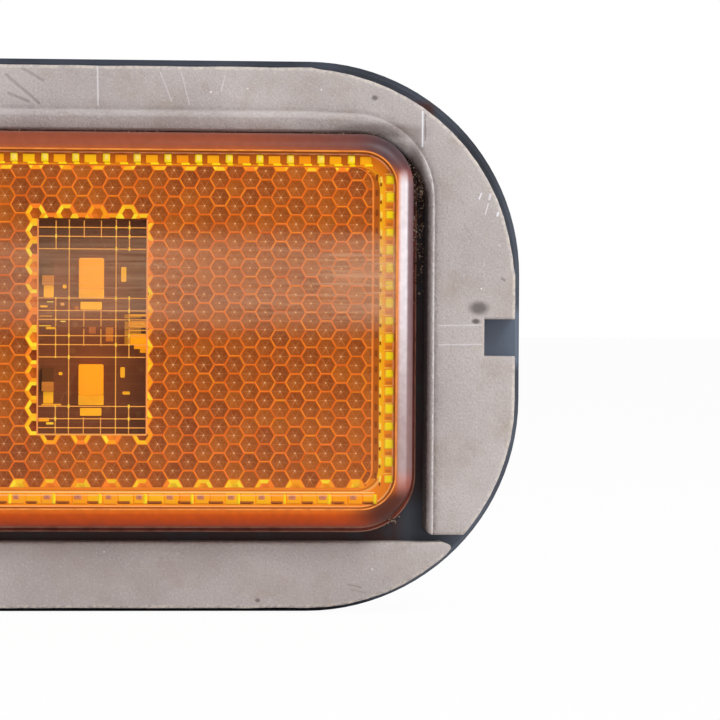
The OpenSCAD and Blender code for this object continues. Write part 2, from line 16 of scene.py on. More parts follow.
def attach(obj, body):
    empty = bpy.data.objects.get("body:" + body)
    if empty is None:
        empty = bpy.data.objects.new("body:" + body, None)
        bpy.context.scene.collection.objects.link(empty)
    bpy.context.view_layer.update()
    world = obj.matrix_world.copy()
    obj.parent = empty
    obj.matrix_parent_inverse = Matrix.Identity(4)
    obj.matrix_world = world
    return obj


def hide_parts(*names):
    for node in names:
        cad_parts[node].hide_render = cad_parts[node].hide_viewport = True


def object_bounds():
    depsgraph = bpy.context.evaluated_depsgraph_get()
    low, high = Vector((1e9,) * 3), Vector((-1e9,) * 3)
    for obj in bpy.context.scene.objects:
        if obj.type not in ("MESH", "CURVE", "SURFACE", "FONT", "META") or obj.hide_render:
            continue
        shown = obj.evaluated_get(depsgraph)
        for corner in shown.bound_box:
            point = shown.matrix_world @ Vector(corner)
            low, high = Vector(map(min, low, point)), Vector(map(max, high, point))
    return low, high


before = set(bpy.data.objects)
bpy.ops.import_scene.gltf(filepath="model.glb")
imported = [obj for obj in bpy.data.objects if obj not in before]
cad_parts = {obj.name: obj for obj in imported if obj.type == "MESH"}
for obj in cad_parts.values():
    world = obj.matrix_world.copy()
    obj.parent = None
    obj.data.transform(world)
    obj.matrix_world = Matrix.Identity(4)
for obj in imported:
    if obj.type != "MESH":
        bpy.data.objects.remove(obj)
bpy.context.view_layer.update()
mm = 0.001

# %% [markdown]
# ## Camera
# The photograph was taken almost square on, from far enough away that edges hardly converge.
# A 200 mm lens on a 36 mm sensor gives the same flat view. Its place and its small turns
# were found by matching the flange, the foam and the lens edges to the picture.

# %% Camera
camera_data = bpy.data.cameras.new("photo_camera")
camera_data.sensor_width = 36
camera_data.lens = 200
camera = bpy.data.objects.new("photo_camera", camera_data)
bpy.context.scene.collection.objects.link(camera)
turn = Matrix.Rotation(math.radians(-4.86), 4, "Z")
tilt = Matrix.Rotation(math.radians(90 - 0.69), 4, "X")
roll = Matrix.Rotation(math.radians(0.32), 4, "Z")
camera.matrix_world = Matrix.Translation(Vector((-9.6, -563.0, 3.4)) * mm) @ turn @ tilt @ roll
camera_data.clip_start = 0.01
bpy.context.scene.camera = camera
print("camera at", [round(v / mm) for v in camera.location])

# %% [markdown]
# ## Small helpers
# Colours are picked as sRGB hex values, the way they look on a screen, and one function turns
# them into the linear numbers that shaders need. Another adds a node: its options are keyword
# arguments, and each input is a number, a colour or a link from an earlier node.

# %% Colours and nodes


def linear(hex_text):
    """The linear RGBA of an sRGB colour such as #c0b8b8."""
    parts = [int(hex_text[i : i + 2], 16) / 255 for i in (1, 3, 5)]
    return [p / 12.92 if p <= 0.04045 else ((p + 0.055) / 1.055) ** 2.4 for p in parts] + [1.0]


def add(tree, kind, inputs=None, **options):
    """Adds one node with its options, and sets or links its inputs."""
    made = tree.nodes.new(kind)
    for name, value in options.items():
        setattr(made, name, value)
    for name, value in (inputs or {}).items():
        if isinstance(value, bpy.types.NodeSocket):
            tree.links.new(value, made.inputs[name])
        else:
            made.inputs[name].default_value = value
    return made


def new_material(name):
    """An empty material, its node tree and its output node."""
    material = bpy.data.materials.new(name)
    material.use_nodes = True
    tree = material.node_tree
    tree.nodes.clear()
    return material, tree, add(tree, "ShaderNodeOutputMaterial")


def finish_with(tree, output, shader):
    """Makes a shader the finish of its material."""
    tree.links.new(shader.outputs[0], output.inputs["Surface"])


print("white in linear light:", linear("#ffffff")[:3])

# %% [markdown]
# ## Studio
# The picture has a plain white ground and soft light from the upper right. A world of even
# grey fills the shadows. The camera alone sees it white, so no extra light falls on the lamp.
# A big softbox stands high on the right, and a tall one at the side adds its reflection to the pale
# highlight painted along the rounded right edge of the lens.

# %% World
bpy.context.scene.view_settings.view_transform = "Standard"
world = bpy.data.worlds.new("studio")
world.use_nodes = True
bpy.context.scene.world = world
sky = world.node_tree
sky.nodes.clear()
ray = add(sky, "ShaderNodeLightPath")
fill = add(sky, "ShaderNodeBackground", {"Color": linear("#ffffff"), "Strength": 0.36})
plain = add(sky, "ShaderNodeBackground", {"Color": linear("#ffffff"), "Strength": 1.0})
seen = add(
    sky, "ShaderNodeMixShader", {0: ray.outputs["Is Camera Ray"], 1: fill.outputs[0], 2: plain.outputs[0]},
)
add(sky, "ShaderNodeOutputWorld", {"Surface": seen.outputs[0]})
print("world fill:", fill.inputs["Strength"].default_value)

# %% Softboxes


def softbox(name, place, size, watts):
    """A rectangular lamp at a place in mm, turned to the middle of the lens."""
    light = bpy.data.lights.new(name, "AREA")
    light.shape = "RECTANGLE"
    light.size, light.size_y = size[0] * mm, size[1] * mm
    light.energy = watts
    lamp = bpy.data.objects.new(name, light)
    bpy.context.scene.collection.objects.link(lamp)
    lamp.location = Vector(place) * mm
    aim = Vector((20, -25, 0)) * mm - lamp.location
    lamp.rotation_euler = aim.to_track_quat("-Z", "Y").to_euler()
    return lamp


softbox("key_softbox", (520, -700, 760), (700, 500), 7.3)
softbox("side_softbox", (760, -330, 60), (240, 620), 3.0)
softbox("left_softbox", (-700, -640, 240), (500, 500), 2.1)

# %% Floor
floor_mesh = bpy.data.meshes.new("floor")
bm = bmesh.new()
bmesh.ops.create_grid(bm, x_segments=1, y_segments=1, size=6.0)
bmesh.ops.translate(bm, verts=bm.verts[:], vec=(0, 0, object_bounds()[0][2] - 0.0001))
bm.to_mesh(floor_mesh)
bm.free()
floor = bpy.data.objects.new("floor", floor_mesh)
bpy.context.scene.collection.objects.link(floor)
material, tree, output = new_material("white_sweep_paper")
ray = add(tree, "ShaderNodeLightPath")
paper = add(tree, "ShaderNodeBsdfDiffuse", {"Color": linear("#f4f4f4")})
white = add(tree, "ShaderNodeEmission", {"Color": linear("#ffffff"), "Strength": 1.0})
lift = add(tree, "ShaderNodeMath", {0: ray.outputs["Is Camera Ray"], 1: 0.965}, operation="MULTIPLY")
finish_with(
    tree, output,
    add(tree, "ShaderNodeMixShader", {0: lift.outputs[0], 1: paper.outputs[0], 2: white.outputs[0]}),
)
floor_mesh.materials.append(material)
print("floor height in mm:", round(floor_mesh.vertices[0].co.z / mm, 2))

# %% [markdown]
# ## Black moulded plastic
# The flange is glass-filled nylon, moulded in a tool with a fine spark texture. It looks
# almost black, with a little blue painted into its colour as a painted reflection of the sky,
# and dusty where hands can't reach. A base colour broken up by two noises, a satin roughness
# and a fine bump give that.

# %% Housing plastic
material, tree, output = new_material("glass_filled_nylon_black")
place = add(tree, "ShaderNodeTexCoord").outputs["Object"]
dust_and_sheen = add(tree, "ShaderNodeTexNoise", {"Vector": place, "Scale": 1 / (9 * mm), "Detail": 6.0})
# The noise makes dust patches, and the blue in both colours is a painted reflection of the sky
dust_and_sheen_ramp = add(tree, "ShaderNodeValToRGB", {"Fac": dust_and_sheen.outputs["Fac"]})
dust_and_sheen_ramp.color_ramp.elements[0].position = 0.35
dust_and_sheen_ramp.color_ramp.elements[0].color = linear("#20242f")
dust_and_sheen_ramp.color_ramp.elements[1].position = 0.75
dust_and_sheen_ramp.color_ramp.elements[1].color = linear("#3a4150")
# Specks of light dust, 0.2 mm across
speck = add(tree, "ShaderNodeTexVoronoi", {"Vector": place, "Scale": 1 / (0.9 * mm)})
speck_near = add(
    tree,
    "ShaderNodeMapRange",
    {"Value": speck.outputs["Distance"], "From Min": 0.10, "From Max": 0.05, "To Max": 0.5},
)
speck_some = add(
    tree,
    "ShaderNodeMath",
    {0: speck.outputs["Color"], 1: 0.82},
    operation="GREATER_THAN",
)
speck_mask = add(
    tree, "ShaderNodeMath", {0: speck_near.outputs[0], 1: speck_some.outputs[0]}, operation="MULTIPLY"
)
colour = add(
    tree,
    "ShaderNodeMix",
    {0: speck_mask.outputs[0], 6: dust_and_sheen_ramp.outputs["Color"], 7: linear("#8a8680")},
    data_type="RGBA",
)
print("dust and specks:", len(tree.nodes), "nodes")

# %% [markdown]
# Where dirt lies depends on the place, and so does the painted light. Dust settles in the
# notches; the gap round the lens is painted dark red, road dirt with painted shade and painted
# amber light from the lens; and the flange in the lower corners beside the lens is painted a
# paler blue-grey as painted light. Each is a mask made of soft steps along the axes, multiplied
# together.

# %% Dirt, painted shade and painted light on the flange
parts = add(tree, "ShaderNodeSeparateXYZ", {0: place})
on_face = add(
    tree, "ShaderNodeMapRange", {"Value": parts.outputs["Y"], "From Min": -19.4 * mm, "From Max": -19.9 * mm}
)
across = add(tree, "ShaderNodeMath", {0: parts.outputs["X"]}, operation="ABSOLUTE")
by_notch = add(
    tree, "ShaderNodeMapRange", {"Value": across.outputs[0], "From Min": 49.0 * mm, "From Max": 52.0 * mm}
)
by_notch = add(tree, "ShaderNodeMath", {0: by_notch.outputs[0], 1: on_face.outputs[0]}, operation="MULTIPLY")
level = add(tree, "ShaderNodeMath", {0: parts.outputs["Z"]}, operation="ABSOLUTE")
near_level = add(
    tree, "ShaderNodeMapRange", {"Value": level.outputs[0], "From Min": 4.6 * mm, "From Max": 3.2 * mm}
)
by_notch = add(
    tree, "ShaderNodeMath", {0: by_notch.outputs[0], 1: near_level.outputs[0]}, operation="MULTIPLY",
)
# The gap round the lens: road dirt, with painted shade and painted amber light from the lens
by_lens = add(
    tree, "ShaderNodeMapRange", {"Value": across.outputs[0], "From Min": 47.0 * mm, "From Max": 46.0 * mm}
)
gap_dirt_and_shade = add(tree, "ShaderNodeTexNoise", {"Vector": place, "Scale": 1 / (2.6 * mm), "Detail": 6.0})
gap_dirt_and_shade = add(
    tree, "ShaderNodeMapRange",
    {"Value": gap_dirt_and_shade.outputs["Fac"], "From Min": 0.28, "From Max": 0.56, "To Min": 0.4},
)
by_lens = add(tree, "ShaderNodeMath", {0: by_lens.outputs[0], 1: gap_dirt_and_shade.outputs[0]}, operation="MULTIPLY")
by_lens = add(tree, "ShaderNodeMath", {0: by_lens.outputs[0], 1: on_face.outputs[0]}, operation="MULTIPLY")
in_gap = add(
    tree, "ShaderNodeMapRange", {"Value": level.outputs[0], "From Min": 32.5 * mm, "From Max": 31.5 * mm}
)
by_lens = add(tree, "ShaderNodeMath", {0: by_lens.outputs[0], 1: in_gap.outputs[0]}, operation="MULTIPLY")
# The flange in the lower corners beside the lens is painted paler, as painted light where it lies open to the
# lamps
out_wide = add(
    tree, "ShaderNodeMapRange", {"Value": across.outputs[0], "From Min": 41.2 * mm, "From Max": 43.2 * mm}
)
out_low = add(
    tree, "ShaderNodeMapRange", {"Value": parts.outputs["Z"], "From Min": -20.6 * mm, "From Max": -23.6 * mm}
)
corner = add(tree, "ShaderNodeMath", {0: out_wide.outputs[0], 1: out_low.outputs[0]}, operation="MULTIPLY")
corner = add(tree, "ShaderNodeMath", {0: corner.outputs[0], 1: on_face.outputs[0]}, operation="MULTIPLY")
print("dirt masks:", len(tree.nodes), "nodes")

# %% Spark texture and shader
rough = add(
    tree, "ShaderNodeMapRange", {"Value": dust_and_sheen.outputs["Fac"], "To Min": 0.34, "To Max": 0.52}
)
# The spark texture is about 0.08 mm; it is drawn at 0.25 mm so that it shows
grain = add(tree, "ShaderNodeTexNoise", {"Vector": place, "Scale": 1 / (0.25 * mm), "Detail": 2.0})
bump = add(
    tree,
    "ShaderNodeBump",
    {"Height": grain.outputs["Fac"], "Strength": 0.25, "Distance": 0.05 * mm},
)
black = add(
    tree, "ShaderNodeMix",
    {0: by_notch.outputs[0], 6: colour.outputs[2], 7: linear("#566070")}, data_type="RGBA",
).outputs[2]
# Dark red in the gap: road dirt, painted shade and painted amber light
black = add(
    tree, "ShaderNodeMix", {0: by_lens.outputs[0], 6: black, 7: linear("#3a130e")}, data_type="RGBA"
).outputs[2]
# A paler blue-grey in the lower corners: painted light
black = add(
    tree, "ShaderNodeMix", {0: corner.outputs[0], 6: black, 7: linear("#434b58")}, data_type="RGBA"
).outputs[2]
plastic = add(
    tree,
    "ShaderNodeBsdfPrincipled",
    {"Base Color": black, "Roughness": rough.outputs[0], "Normal": bump.outputs[0], "IOR": 1.53},
)
finish_with(tree, output, plastic)
housing_plastic = material
print("made", material.name)

# %% [markdown]
# ## Marks, spots and stains
# Used things carry marks in known places. A mark is a strip between two points, and a spot is
# a soft round patch. Both are masks, and a stain lays a colour over another through a mask.
# They are drawn by their place on the lamp, so they stay put from every side.

# %% Marks


def mark(tree, place, start, end, width, soft=0.5):
    """A mask of 1 along a straight mark from start to end, given as (x, z) in mm."""
    ax, az = start
    length = math.hypot(end[0] - ax, end[1] - az)
    angle = math.atan2(end[1] - az, end[0] - ax)
    moved = add(
        tree,
        "ShaderNodeMapping",
        {"Vector": place, "Location": (-ax * mm, 0, -az * mm)},
        vector_type="POINT",
    )
    turned = add(
        tree, "ShaderNodeMapping", {"Vector": moved.outputs[0], "Rotation": (0, angle, 0)}
    )
    parts = add(tree, "ShaderNodeSeparateXYZ", {0: turned.outputs[0]})
    along = add(
        tree,
        "ShaderNodeMath",
        {0: parts.outputs["X"], 1: length / 2 * mm, 2: length / 2 * mm},
        operation="COMPARE",
    )
    off = add(tree, "ShaderNodeMath", {0: parts.outputs["Z"]}, operation="ABSOLUTE")
    across = add(
        tree,
        "ShaderNodeMapRange",
        {"Value": off.outputs[0], "From Min": width / 2 * mm, "From Max": width * soft / 2 * mm},
    )
    return add(
        tree, "ShaderNodeMath", {0: along.outputs[0], 1: across.outputs[0]}, operation="MULTIPLY"
    ).outputs[0]


print("a mark takes its ends in mm:", mark.__doc__)

# %% Spots and stains


def spot(tree, place, centre, radius):
    """A soft round mask about a place given as (x, z) in mm."""
    near = add(
        tree,
        "ShaderNodeMapping",
        {
            "Vector": place,
            "Location": (-centre[0] / radius[0], 0, -centre[1] / radius[1]),
            "Scale": (1 / (radius[0] * mm), 0, 1 / (radius[1] * mm)),
        },
    )
    away = add(tree, "ShaderNodeVectorMath", {0: near.outputs[0]}, operation="LENGTH")
    return add(
        tree,
        "ShaderNodeMapRange",
        {"Value": away.outputs["Value"], "From Min": 1.0, "From Max": 0.3},
        interpolation_type="SMOOTHSTEP",
    ).outputs[0]


def stain(tree, mask, amount, under, over):
    """Stains a colour with another, as far as a mask and an amount say."""
    share = add(tree, "ShaderNodeMath", {0: mask, 1: amount}, operation="MULTIPLY")
    return add(
        tree, "ShaderNodeMix", {0: share.outputs[0], 6: under, 7: over}, data_type="RGBA"
    ).outputs[2]


print("a spot is soft to 0.3 of its radius, and a stain follows:", stain.__doc__)

# %% [markdown]
# ## Grey foam
# The gasket is cut from a sheet of closed-cell foam rubber. Its skin is matt and slightly
# pink, with fine pores, browner patches and sparse white specks. Three noises carry the
# colour: 14 mm for the broad drift, 5.5 mm for the patches and 0.3 mm for the pores. Cells
# 2.4 mm wide place the specks, and about half of them get one.

# %% Foam colour
material, tree, output = new_material("closed_cell_foam_rubber")
place = add(tree, "ShaderNodeTexCoord").outputs["Object"]
broad = add(tree, "ShaderNodeTexNoise", {"Vector": place, "Scale": 1 / (14 * mm), "Detail": 5.0})
broad_ramp = add(tree, "ShaderNodeValToRGB", {"Fac": broad.outputs["Fac"]})
broad_ramp.color_ramp.elements[0].position = 0.3
broad_ramp.color_ramp.elements[0].color = linear("#a89f9d")
broad_ramp.color_ramp.elements[1].position = 0.7
broad_ramp.color_ramp.elements[1].color = linear("#bcb4b2")
foam_colour = broad_ramp.outputs["Color"]
# Pores in the skin, about 0.3 mm
pores = add(tree, "ShaderNodeTexNoise", {"Vector": place, "Scale": 1 / (0.30 * mm), "Detail": 3.0})
pore_dark = add(
    tree, "ShaderNodeMapRange", {"Value": pores.outputs["Fac"], "From Min": 0.46, "From Max": 0.30}
)
pore_pale = add(
    tree, "ShaderNodeMapRange", {"Value": pores.outputs["Fac"], "From Min": 0.56, "From Max": 0.70}
)
foam_colour = stain(tree, pore_dark.outputs[0], 0.28, foam_colour, linear("#7d7573"))
foam_colour = stain(tree, pore_pale.outputs[0], 0.35, foam_colour, linear("#d3ccca"))
# Patches a shade browner, a few millimetres across
brown = add(
    tree, "ShaderNodeTexNoise",
    {"Vector": place, "Scale": 1 / (5.5 * mm), "Detail": 6.0, "Roughness": 0.65},
)
brown_patch = add(
    tree, "ShaderNodeMapRange", {"Value": brown.outputs["Fac"], "From Min": 0.50, "From Max": 0.72}
)
foam_colour = stain(tree, brown_patch.outputs[0], 0.5, foam_colour, linear("#a08f82"))
# Sparse white specks, 0.15 to 0.3 mm
specks = add(tree, "ShaderNodeTexVoronoi", {"Vector": place, "Scale": 1 / (2.4 * mm), "Randomness": 1.0})
speck = add(
    tree, "ShaderNodeMapRange", {"Value": specks.outputs["Distance"], "From Min": 0.075, "From Max": 0.035}
)
chosen = add(tree, "ShaderNodeSeparateColor", {0: specks.outputs["Color"]})
chosen = add(tree, "ShaderNodeMath", {0: chosen.outputs["Red"], 1: 0.55}, operation="GREATER_THAN")
speck = add(tree, "ShaderNodeMath", {0: speck.outputs[0], 1: chosen.outputs[0]}, operation="MULTIPLY")
foam_colour = stain(tree, speck.outputs[0], 0.8, foam_colour, linear("#f0ebe6"))
# The bottom is painted darker: painted shade, as it is in less light, and dirt
height = add(tree, "ShaderNodeSeparateXYZ", {0: place})
low = add(
    tree, "ShaderNodeMapRange", {"Value": height.outputs["Z"], "From Min": -20 * mm, "From Max": -36 * mm}
)
foam_colour = stain(tree, low.outputs[0], 0.22, foam_colour, linear("#7f7672"))
print("foam colour:", len(tree.nodes), "nodes")

# %% Stains and cuts in the foam
# Dark stains by the notch and on the strip, and grit by the lens
for centre, radius, amount, shade in (
    ((52.3, 4.0), (1.9, 1.3), 0.75, "#4c433f"),
    ((51.9, 2.2), (0.8, 0.5), 0.8, "#3f3735"),
    ((38.0, 32.3), (0.6, 0.5), 0.7, "#4a423f"),
    ((22.5, -35.6), (0.5, 0.4), 0.7, "#4a423f"),
    ((38.5, 27.8), (9.0, 1.6), 0.55, "#5c4a40"),
    ((43.6, 22.5), (1.6, 6.5), 0.6, "#55443b"),
    ((46.2, 33.0), (2.0, 1.2), 0.25, "#d8d2cf"),
):
    foam_colour = stain(tree, spot(tree, place, centre, radius), amount, foam_colour, linear(shade))
# Pale cuts and rubs; the two long upright lines at x 0.6 and 44.5 are painted highlights on the lit wall of a
# groove
for start, end, width, amount in (
    ((0.6, 36.3), (0.7, 30.9), 0.30, 0.45),
    ((44.5, 30.6), (44.5, 25.7), 0.28, 0.75),
    ((46.7, 1.6), (52.8, 1.7), 0.22, 0.35),
    ((46.7, -1.0), (52.8, -0.9), 0.22, 0.35),
    ((9.0, 35.5), (10.6, 31.5), 0.26, 0.25),
    ((11.8, 35.6), (13.0, 31.1), 0.22, 0.25),
    ((17.8, 35.2), (17.2, 33.0), 0.26, 0.25),
    ((52.2, 18.7), (52.6, 19.6), 0.24, 0.8),
    ((53.1, 16.7), (53.5, 18.2), 0.20, 0.6),
    ((53.6, 18.6), (53.8, 19.5), 0.40, 0.5),
    ((54.7, 16.4), (54.9, 17.0), 0.36, 0.7),
):
    foam_colour = stain(
        tree, mark(tree, place, start, end, width), amount, foam_colour, linear("#eceaf2")
    )
# A painted shadow on the far wall of the groove beside a pale cut, and small dark smears
for start, end, width, amount, shade in (
    ((44.86, 30.2), (44.86, 26.6), 0.34, 0.60, "#6d666a"),
    ((50.2, 15.2), (50.9, 14.4), 0.40, 0.35, "#8a8280"),
    ((55.3, 8.1), (55.9, 7.7), 0.60, 0.55, "#6e6460"),
    ((34.6, -33.4), (36.6, -33.9), 0.35, 0.5, "#7a706b"),
    ((35.0, -34.1), (37.2, -34.6), 0.25, 0.4, "#7a706b"),
):
    groove_shadow_and_smear = mark(tree, place, start, end, width, 0.2)
    foam_colour = stain(tree, groove_shadow_and_smear, amount, foam_colour, linear(shade))
print("stains and cuts:", len(tree.nodes), "nodes")

# %% [markdown]
# Dirt and painted light also follow the shape: dirt with painted shade lines the window's inner
# edge and the crease beside the bead, the bead's crest is painted pale as a painted highlight, and
# the cut edges are frayed and painted pale as a highlight. The foam's mesh will carry three
# numbers for these, `dirt_and_shade`, `crest` and `cut_edge`, and the material reads them.

# %% Dirt, wear and painted light by shape
dirt_and_shade = add(tree, "ShaderNodeAttribute", attribute_type="GEOMETRY", attribute_name="dirt_and_shade")
crest = add(tree, "ShaderNodeAttribute", attribute_type="GEOMETRY", attribute_name="crest")
cut_edge = add(tree, "ShaderNodeAttribute", attribute_type="GEOMETRY", attribute_name="cut_edge")
ragged = add(tree, "ShaderNodeTexNoise", {"Vector": place, "Scale": 1 / (0.55 * mm), "Detail": 4.0})
dirt_and_shade_share = add(
    tree, "ShaderNodeMath", {0: ragged.outputs["Fac"], 1: 1.4, 2: -0.7}, operation="MULTIPLY_ADD"
)
dirt_and_shade_share = add(
    tree, "ShaderNodeMath", {0: dirt_and_shade.outputs["Fac"], 1: dirt_and_shade_share.outputs[0]}, operation="ADD", use_clamp=True,
)
dirt_and_shade_share = add(tree, "ShaderNodeMath", {0: dirt_and_shade_share.outputs[0], 1: dirt_and_shade.outputs["Fac"]}, operation="MULTIPLY")
# Dark reddish brown on the window's inner edge and in the crease: dirt, and painted shade
foam_colour = stain(tree, dirt_and_shade_share.outputs[0], 0.92, foam_colour, linear("#38211c"))
worn = add(tree, "ShaderNodeMapRange", {"Value": ragged.outputs["Fac"], "From Min": 0.40, "From Max": 0.60})
# The crest is painted pale as a painted highlight, broken up by the ragged noise
crest_highlight = add(
    tree, "ShaderNodeMath", {0: crest.outputs["Fac"], 1: worn.outputs[0]}, operation="MULTIPLY",
)
foam_colour = stain(tree, crest_highlight.outputs[0], 0.7, foam_colour, linear("#e6e2e6"))
# Cut edges painted pale: frayed foam, and a painted highlight along the rounded edge
frayed_and_lit_edge = add(tree, "ShaderNodeMath", {0: cut_edge.outputs["Fac"], 1: worn.outputs[0]}, operation="MULTIPLY")
foam_colour = stain(tree, frayed_and_lit_edge.outputs[0], 0.55, foam_colour, linear("#ddd2c4"))
print("wear:", len(tree.nodes), "nodes")

# %% Wrinkles, relief and shader
# Oblique wrinkles at the upper left, painted darker as painted shade in their creases and dented by the
# relief
wrinkles = None
for start, end in (
    ((-11.8, 34.9), (-7.2, 31.0)), ((-9.6, 35.8), (-6.6, 34.0)), ((-11.5, 32.4), (-8.5, 31.2)),
):
    line = mark(tree, place, start, end, 0.7, 0.2)
    wrinkles = line if wrinkles is None else add(
        tree, "ShaderNodeMath", {0: wrinkles, 1: line}, operation="MAXIMUM"
    ).outputs[0]
foam_colour = stain(tree, wrinkles, 0.35, foam_colour, linear("#877e7b"))
skin = add(tree, "ShaderNodeTexNoise", {"Vector": place, "Scale": 1 / (2.2 * mm), "Detail": 4.0})
relief = add(
    tree, "ShaderNodeMath", {0: skin.outputs["Fac"], 1: 2.2, 2: pores.outputs["Fac"]},
    operation="MULTIPLY_ADD",
)
relief = add(tree, "ShaderNodeMath", {0: wrinkles, 1: -1.4, 2: relief.outputs[0]}, operation="MULTIPLY_ADD")
bump = add(
    tree,
    "ShaderNodeBump",
    {"Height": relief.outputs[0], "Strength": 0.55, "Distance": 0.12 * mm},
)
foam_skin = add(
    tree,
    "ShaderNodeBsdfPrincipled",
    {"Base Color": foam_colour, "Roughness": 0.88, "Normal": bump.outputs[0], "IOR": 1.45,
     "Specular IOR Level": 0.3, "Sheen Weight": 0.1, "Sheen Roughness": 0.5},
)
finish_with(tree, output, foam_skin)
foam = material
print("made", material.name, "with", len(tree.nodes), "nodes")

# %% [markdown]
# ## Shaping tools
# Most pieces start as a square whose corners are bevelled round, because that one operator
# gives a clean outline of any radius. Outlines with the same number of corner steps have the
# same number of points, so they can be bridged into a skin like the hoops of a barrel.

# %% Outlines and pieces


def outline(bm, left, right, low, high, radius, y, steps=16):
    """A flat face with round corners that faces the viewer; sizes in mm."""
    before = set(bm.verts)
    bmesh.ops.create_grid(bm, x_segments=1, y_segments=1, size=0.5)
    corners = [v for v in bm.verts if v not in before]
    bmesh.ops.rotate(bm, verts=corners, cent=(0, 0, 0), matrix=Matrix.Rotation(math.pi / 2, 3, "X"))
    bmesh.ops.scale(bm, verts=corners, vec=((right - left) * mm, 1, (high - low) * mm))
    bmesh.ops.translate(
        bm, verts=corners, vec=Vector(((left + right) / 2, y, (low + high) / 2)) * mm
    )
    if radius > 0:
        bmesh.ops.bevel(
            bm, geom=corners, offset=radius * mm, offset_type="OFFSET", segments=steps,
            profile=0.5, affect="VERTICES", material=-1,
        )
    made = [v for v in bm.verts if v not in before]
    return next(f for f in bm.faces if all(v in made for v in f.verts))


def hoop(bm, *sizes, **options):
    """The edges of an outline, without its face."""
    face = outline(bm, *sizes, **options)
    edges = face.edges[:]
    bmesh.ops.delete(bm, geom=[face], context="FACES_ONLY")
    return edges


bm = bmesh.new()
outline(bm, -2, 2, -1, 1, 0.5, 0, steps=4)
print("an outline with 4 steps to a corner has", len(bm.verts), "points")
bm.free()

# %% Pieces and slices


def piece(name, bm, materials, smooth=30.0, replaces=()):
    """Makes an object of a bmesh, smooth but for edges sharper than an angle, that rides the lamp."""
    for edge in bm.edges:
        edge.smooth = len(edge.link_faces) == 2 and edge.calc_face_angle(0) < math.radians(smooth)
    for face in bm.faces:
        face.smooth = True
    mesh = bpy.data.meshes.new(name)
    bm.to_mesh(mesh)
    bm.free()
    for material in materials:
        mesh.materials.append(material)
    made = bpy.data.objects.new(name, mesh)
    bpy.context.scene.collection.objects.link(made)
    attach(made, "root")
    if replaces:
        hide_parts(*replaces)
    print(name, "faces:", len(mesh.polygons))
    return made


def slice_up(bm, axis, start, end, step):
    """Cuts a mesh by parallel planes, so that its flat parts can be waved and dented."""
    normal = Vector((1, 0, 0)) if axis == "x" else Vector((0, 0, 1))
    at = start
    while at <= end:
        bmesh.ops.bisect_plane(
            bm, geom=bm.verts[:] + bm.edges[:] + bm.faces[:], dist=1e-7,
            plane_co=normal * at * mm, plane_no=normal,
        )
        at += step


flange_front = -20.2
print("flange face at y =", flange_front)

# %% [markdown]
# ## Housing
# A merged copy of the moulding gets softened edges, because no moulded edge is truly sharp
# and it is the thin highlights along edges that make plastic look like plastic. The copy
# stands exactly where the solid does.

# %% Housing
bm = bmesh.new()
bm.from_mesh(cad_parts["housing"].data)
bmesh.ops.remove_doubles(bm, verts=bm.verts[:], dist=0.002 * mm)
housing = piece("housing_moulding", bm, [housing_plastic], replaces=["housing"])
soften = housing.modifiers.new("soft_edges", "BEVEL")
soften.width = 0.18 * mm
soften.segments = 2
soften.limit_method = "ANGLE"
soften.angle_limit = math.radians(40)
soften.harden_normals = False
print("edges softened by", soften.width / mm, "mm")

# %% [markdown]
# ## Foam gasket
# The foam is one front skin, bridged from the window outwards. A bead swells between the
# window and the crease that the panel's edge has pressed in, then the sheet runs flat to its
# rounded outer edge. The skin is cut off at the ends of the legs and at the notches, waved a
# little, and its free edges are drawn back to the flange to close it.

# %% Sizes of the foam
notch_reach = 53.1
notch_half = 2.5
leg_end = -26.75
leg_inner = 45.2
leg_round = 1.2
strip_top = -27.75
window_top = 28.55
foam_front = -24.6
foam_half_wide, foam_half_tall, foam_round = 57.3, 36.3, 27.9
print("foam:", 2 * foam_half_wide, "by", round(foam_half_tall - leg_end, 2), "mm")

# %% Edges and waves


def rim_drop(distance, radius=0.45):
    """How far a rounded edge falls away, in mm, at a distance in from the edge."""
    inside = max(0.0, 1 - distance / radius)
    return radius * (1 - math.sqrt(max(0.0, 1 - inside * inside)))


def outer_distance(x, z):
    """Distance in mm from a point in to the foam's outer outline."""
    dx, dz = abs(x) - (foam_half_wide - foam_round), abs(z) - (foam_half_tall - foam_round)
    if dx > 0 and dz > 0:
        return foam_round - math.hypot(dx, dz)
    return min(foam_half_wide - abs(x), foam_half_tall - abs(z))


def pull_in(v):
    """Sets the foam's upper outer corners further in than the flange's, as they were cut."""
    furthest = 0.62
    dx = abs(v.co.x / mm) - (foam_half_wide - foam_round)
    dz = v.co.z / mm - (foam_half_tall - foam_round)
    if dx <= 0 or dz <= 0:
        return
    reach = math.hypot(dx, dz)
    share = max(0.0, min(1.0, (reach - 19) / 7)) * math.sqrt(2 * dx * dz) / reach
    v.co.x -= math.copysign(furthest * share * dx / reach * mm, v.co.x)
    v.co.z -= furthest * share * dz / reach * mm


def wave(bm):
    """Lets the foam's face wave and its cut edges wander a little, as a soft sheet does."""
    for v in bm.verts:
        x, z = v.co.x / mm, v.co.z / mm
        slow = noise.noise(Vector((x / 11, z / 11, 3.1)))
        quick = noise.noise(Vector((x / 2.6, z / 2.6, 8.7)))
        v.co.y += (0.10 * slow + 0.03 * quick) * mm
        edge = max(0.0, 1 - outer_distance(x, z) / 1.5)
        v.co.x += 0.07 * edge * noise.noise(Vector((x / 3.5, z / 3.5, 1.7))) * mm
        v.co.z += 0.07 * edge * noise.noise(Vector((x / 3.5, z / 3.5, 5.3))) * mm


print("an edge rounded at 0.45 mm falls", round(rim_drop(0.1), 2), "mm at 0.1 mm")

# %% Closing the back


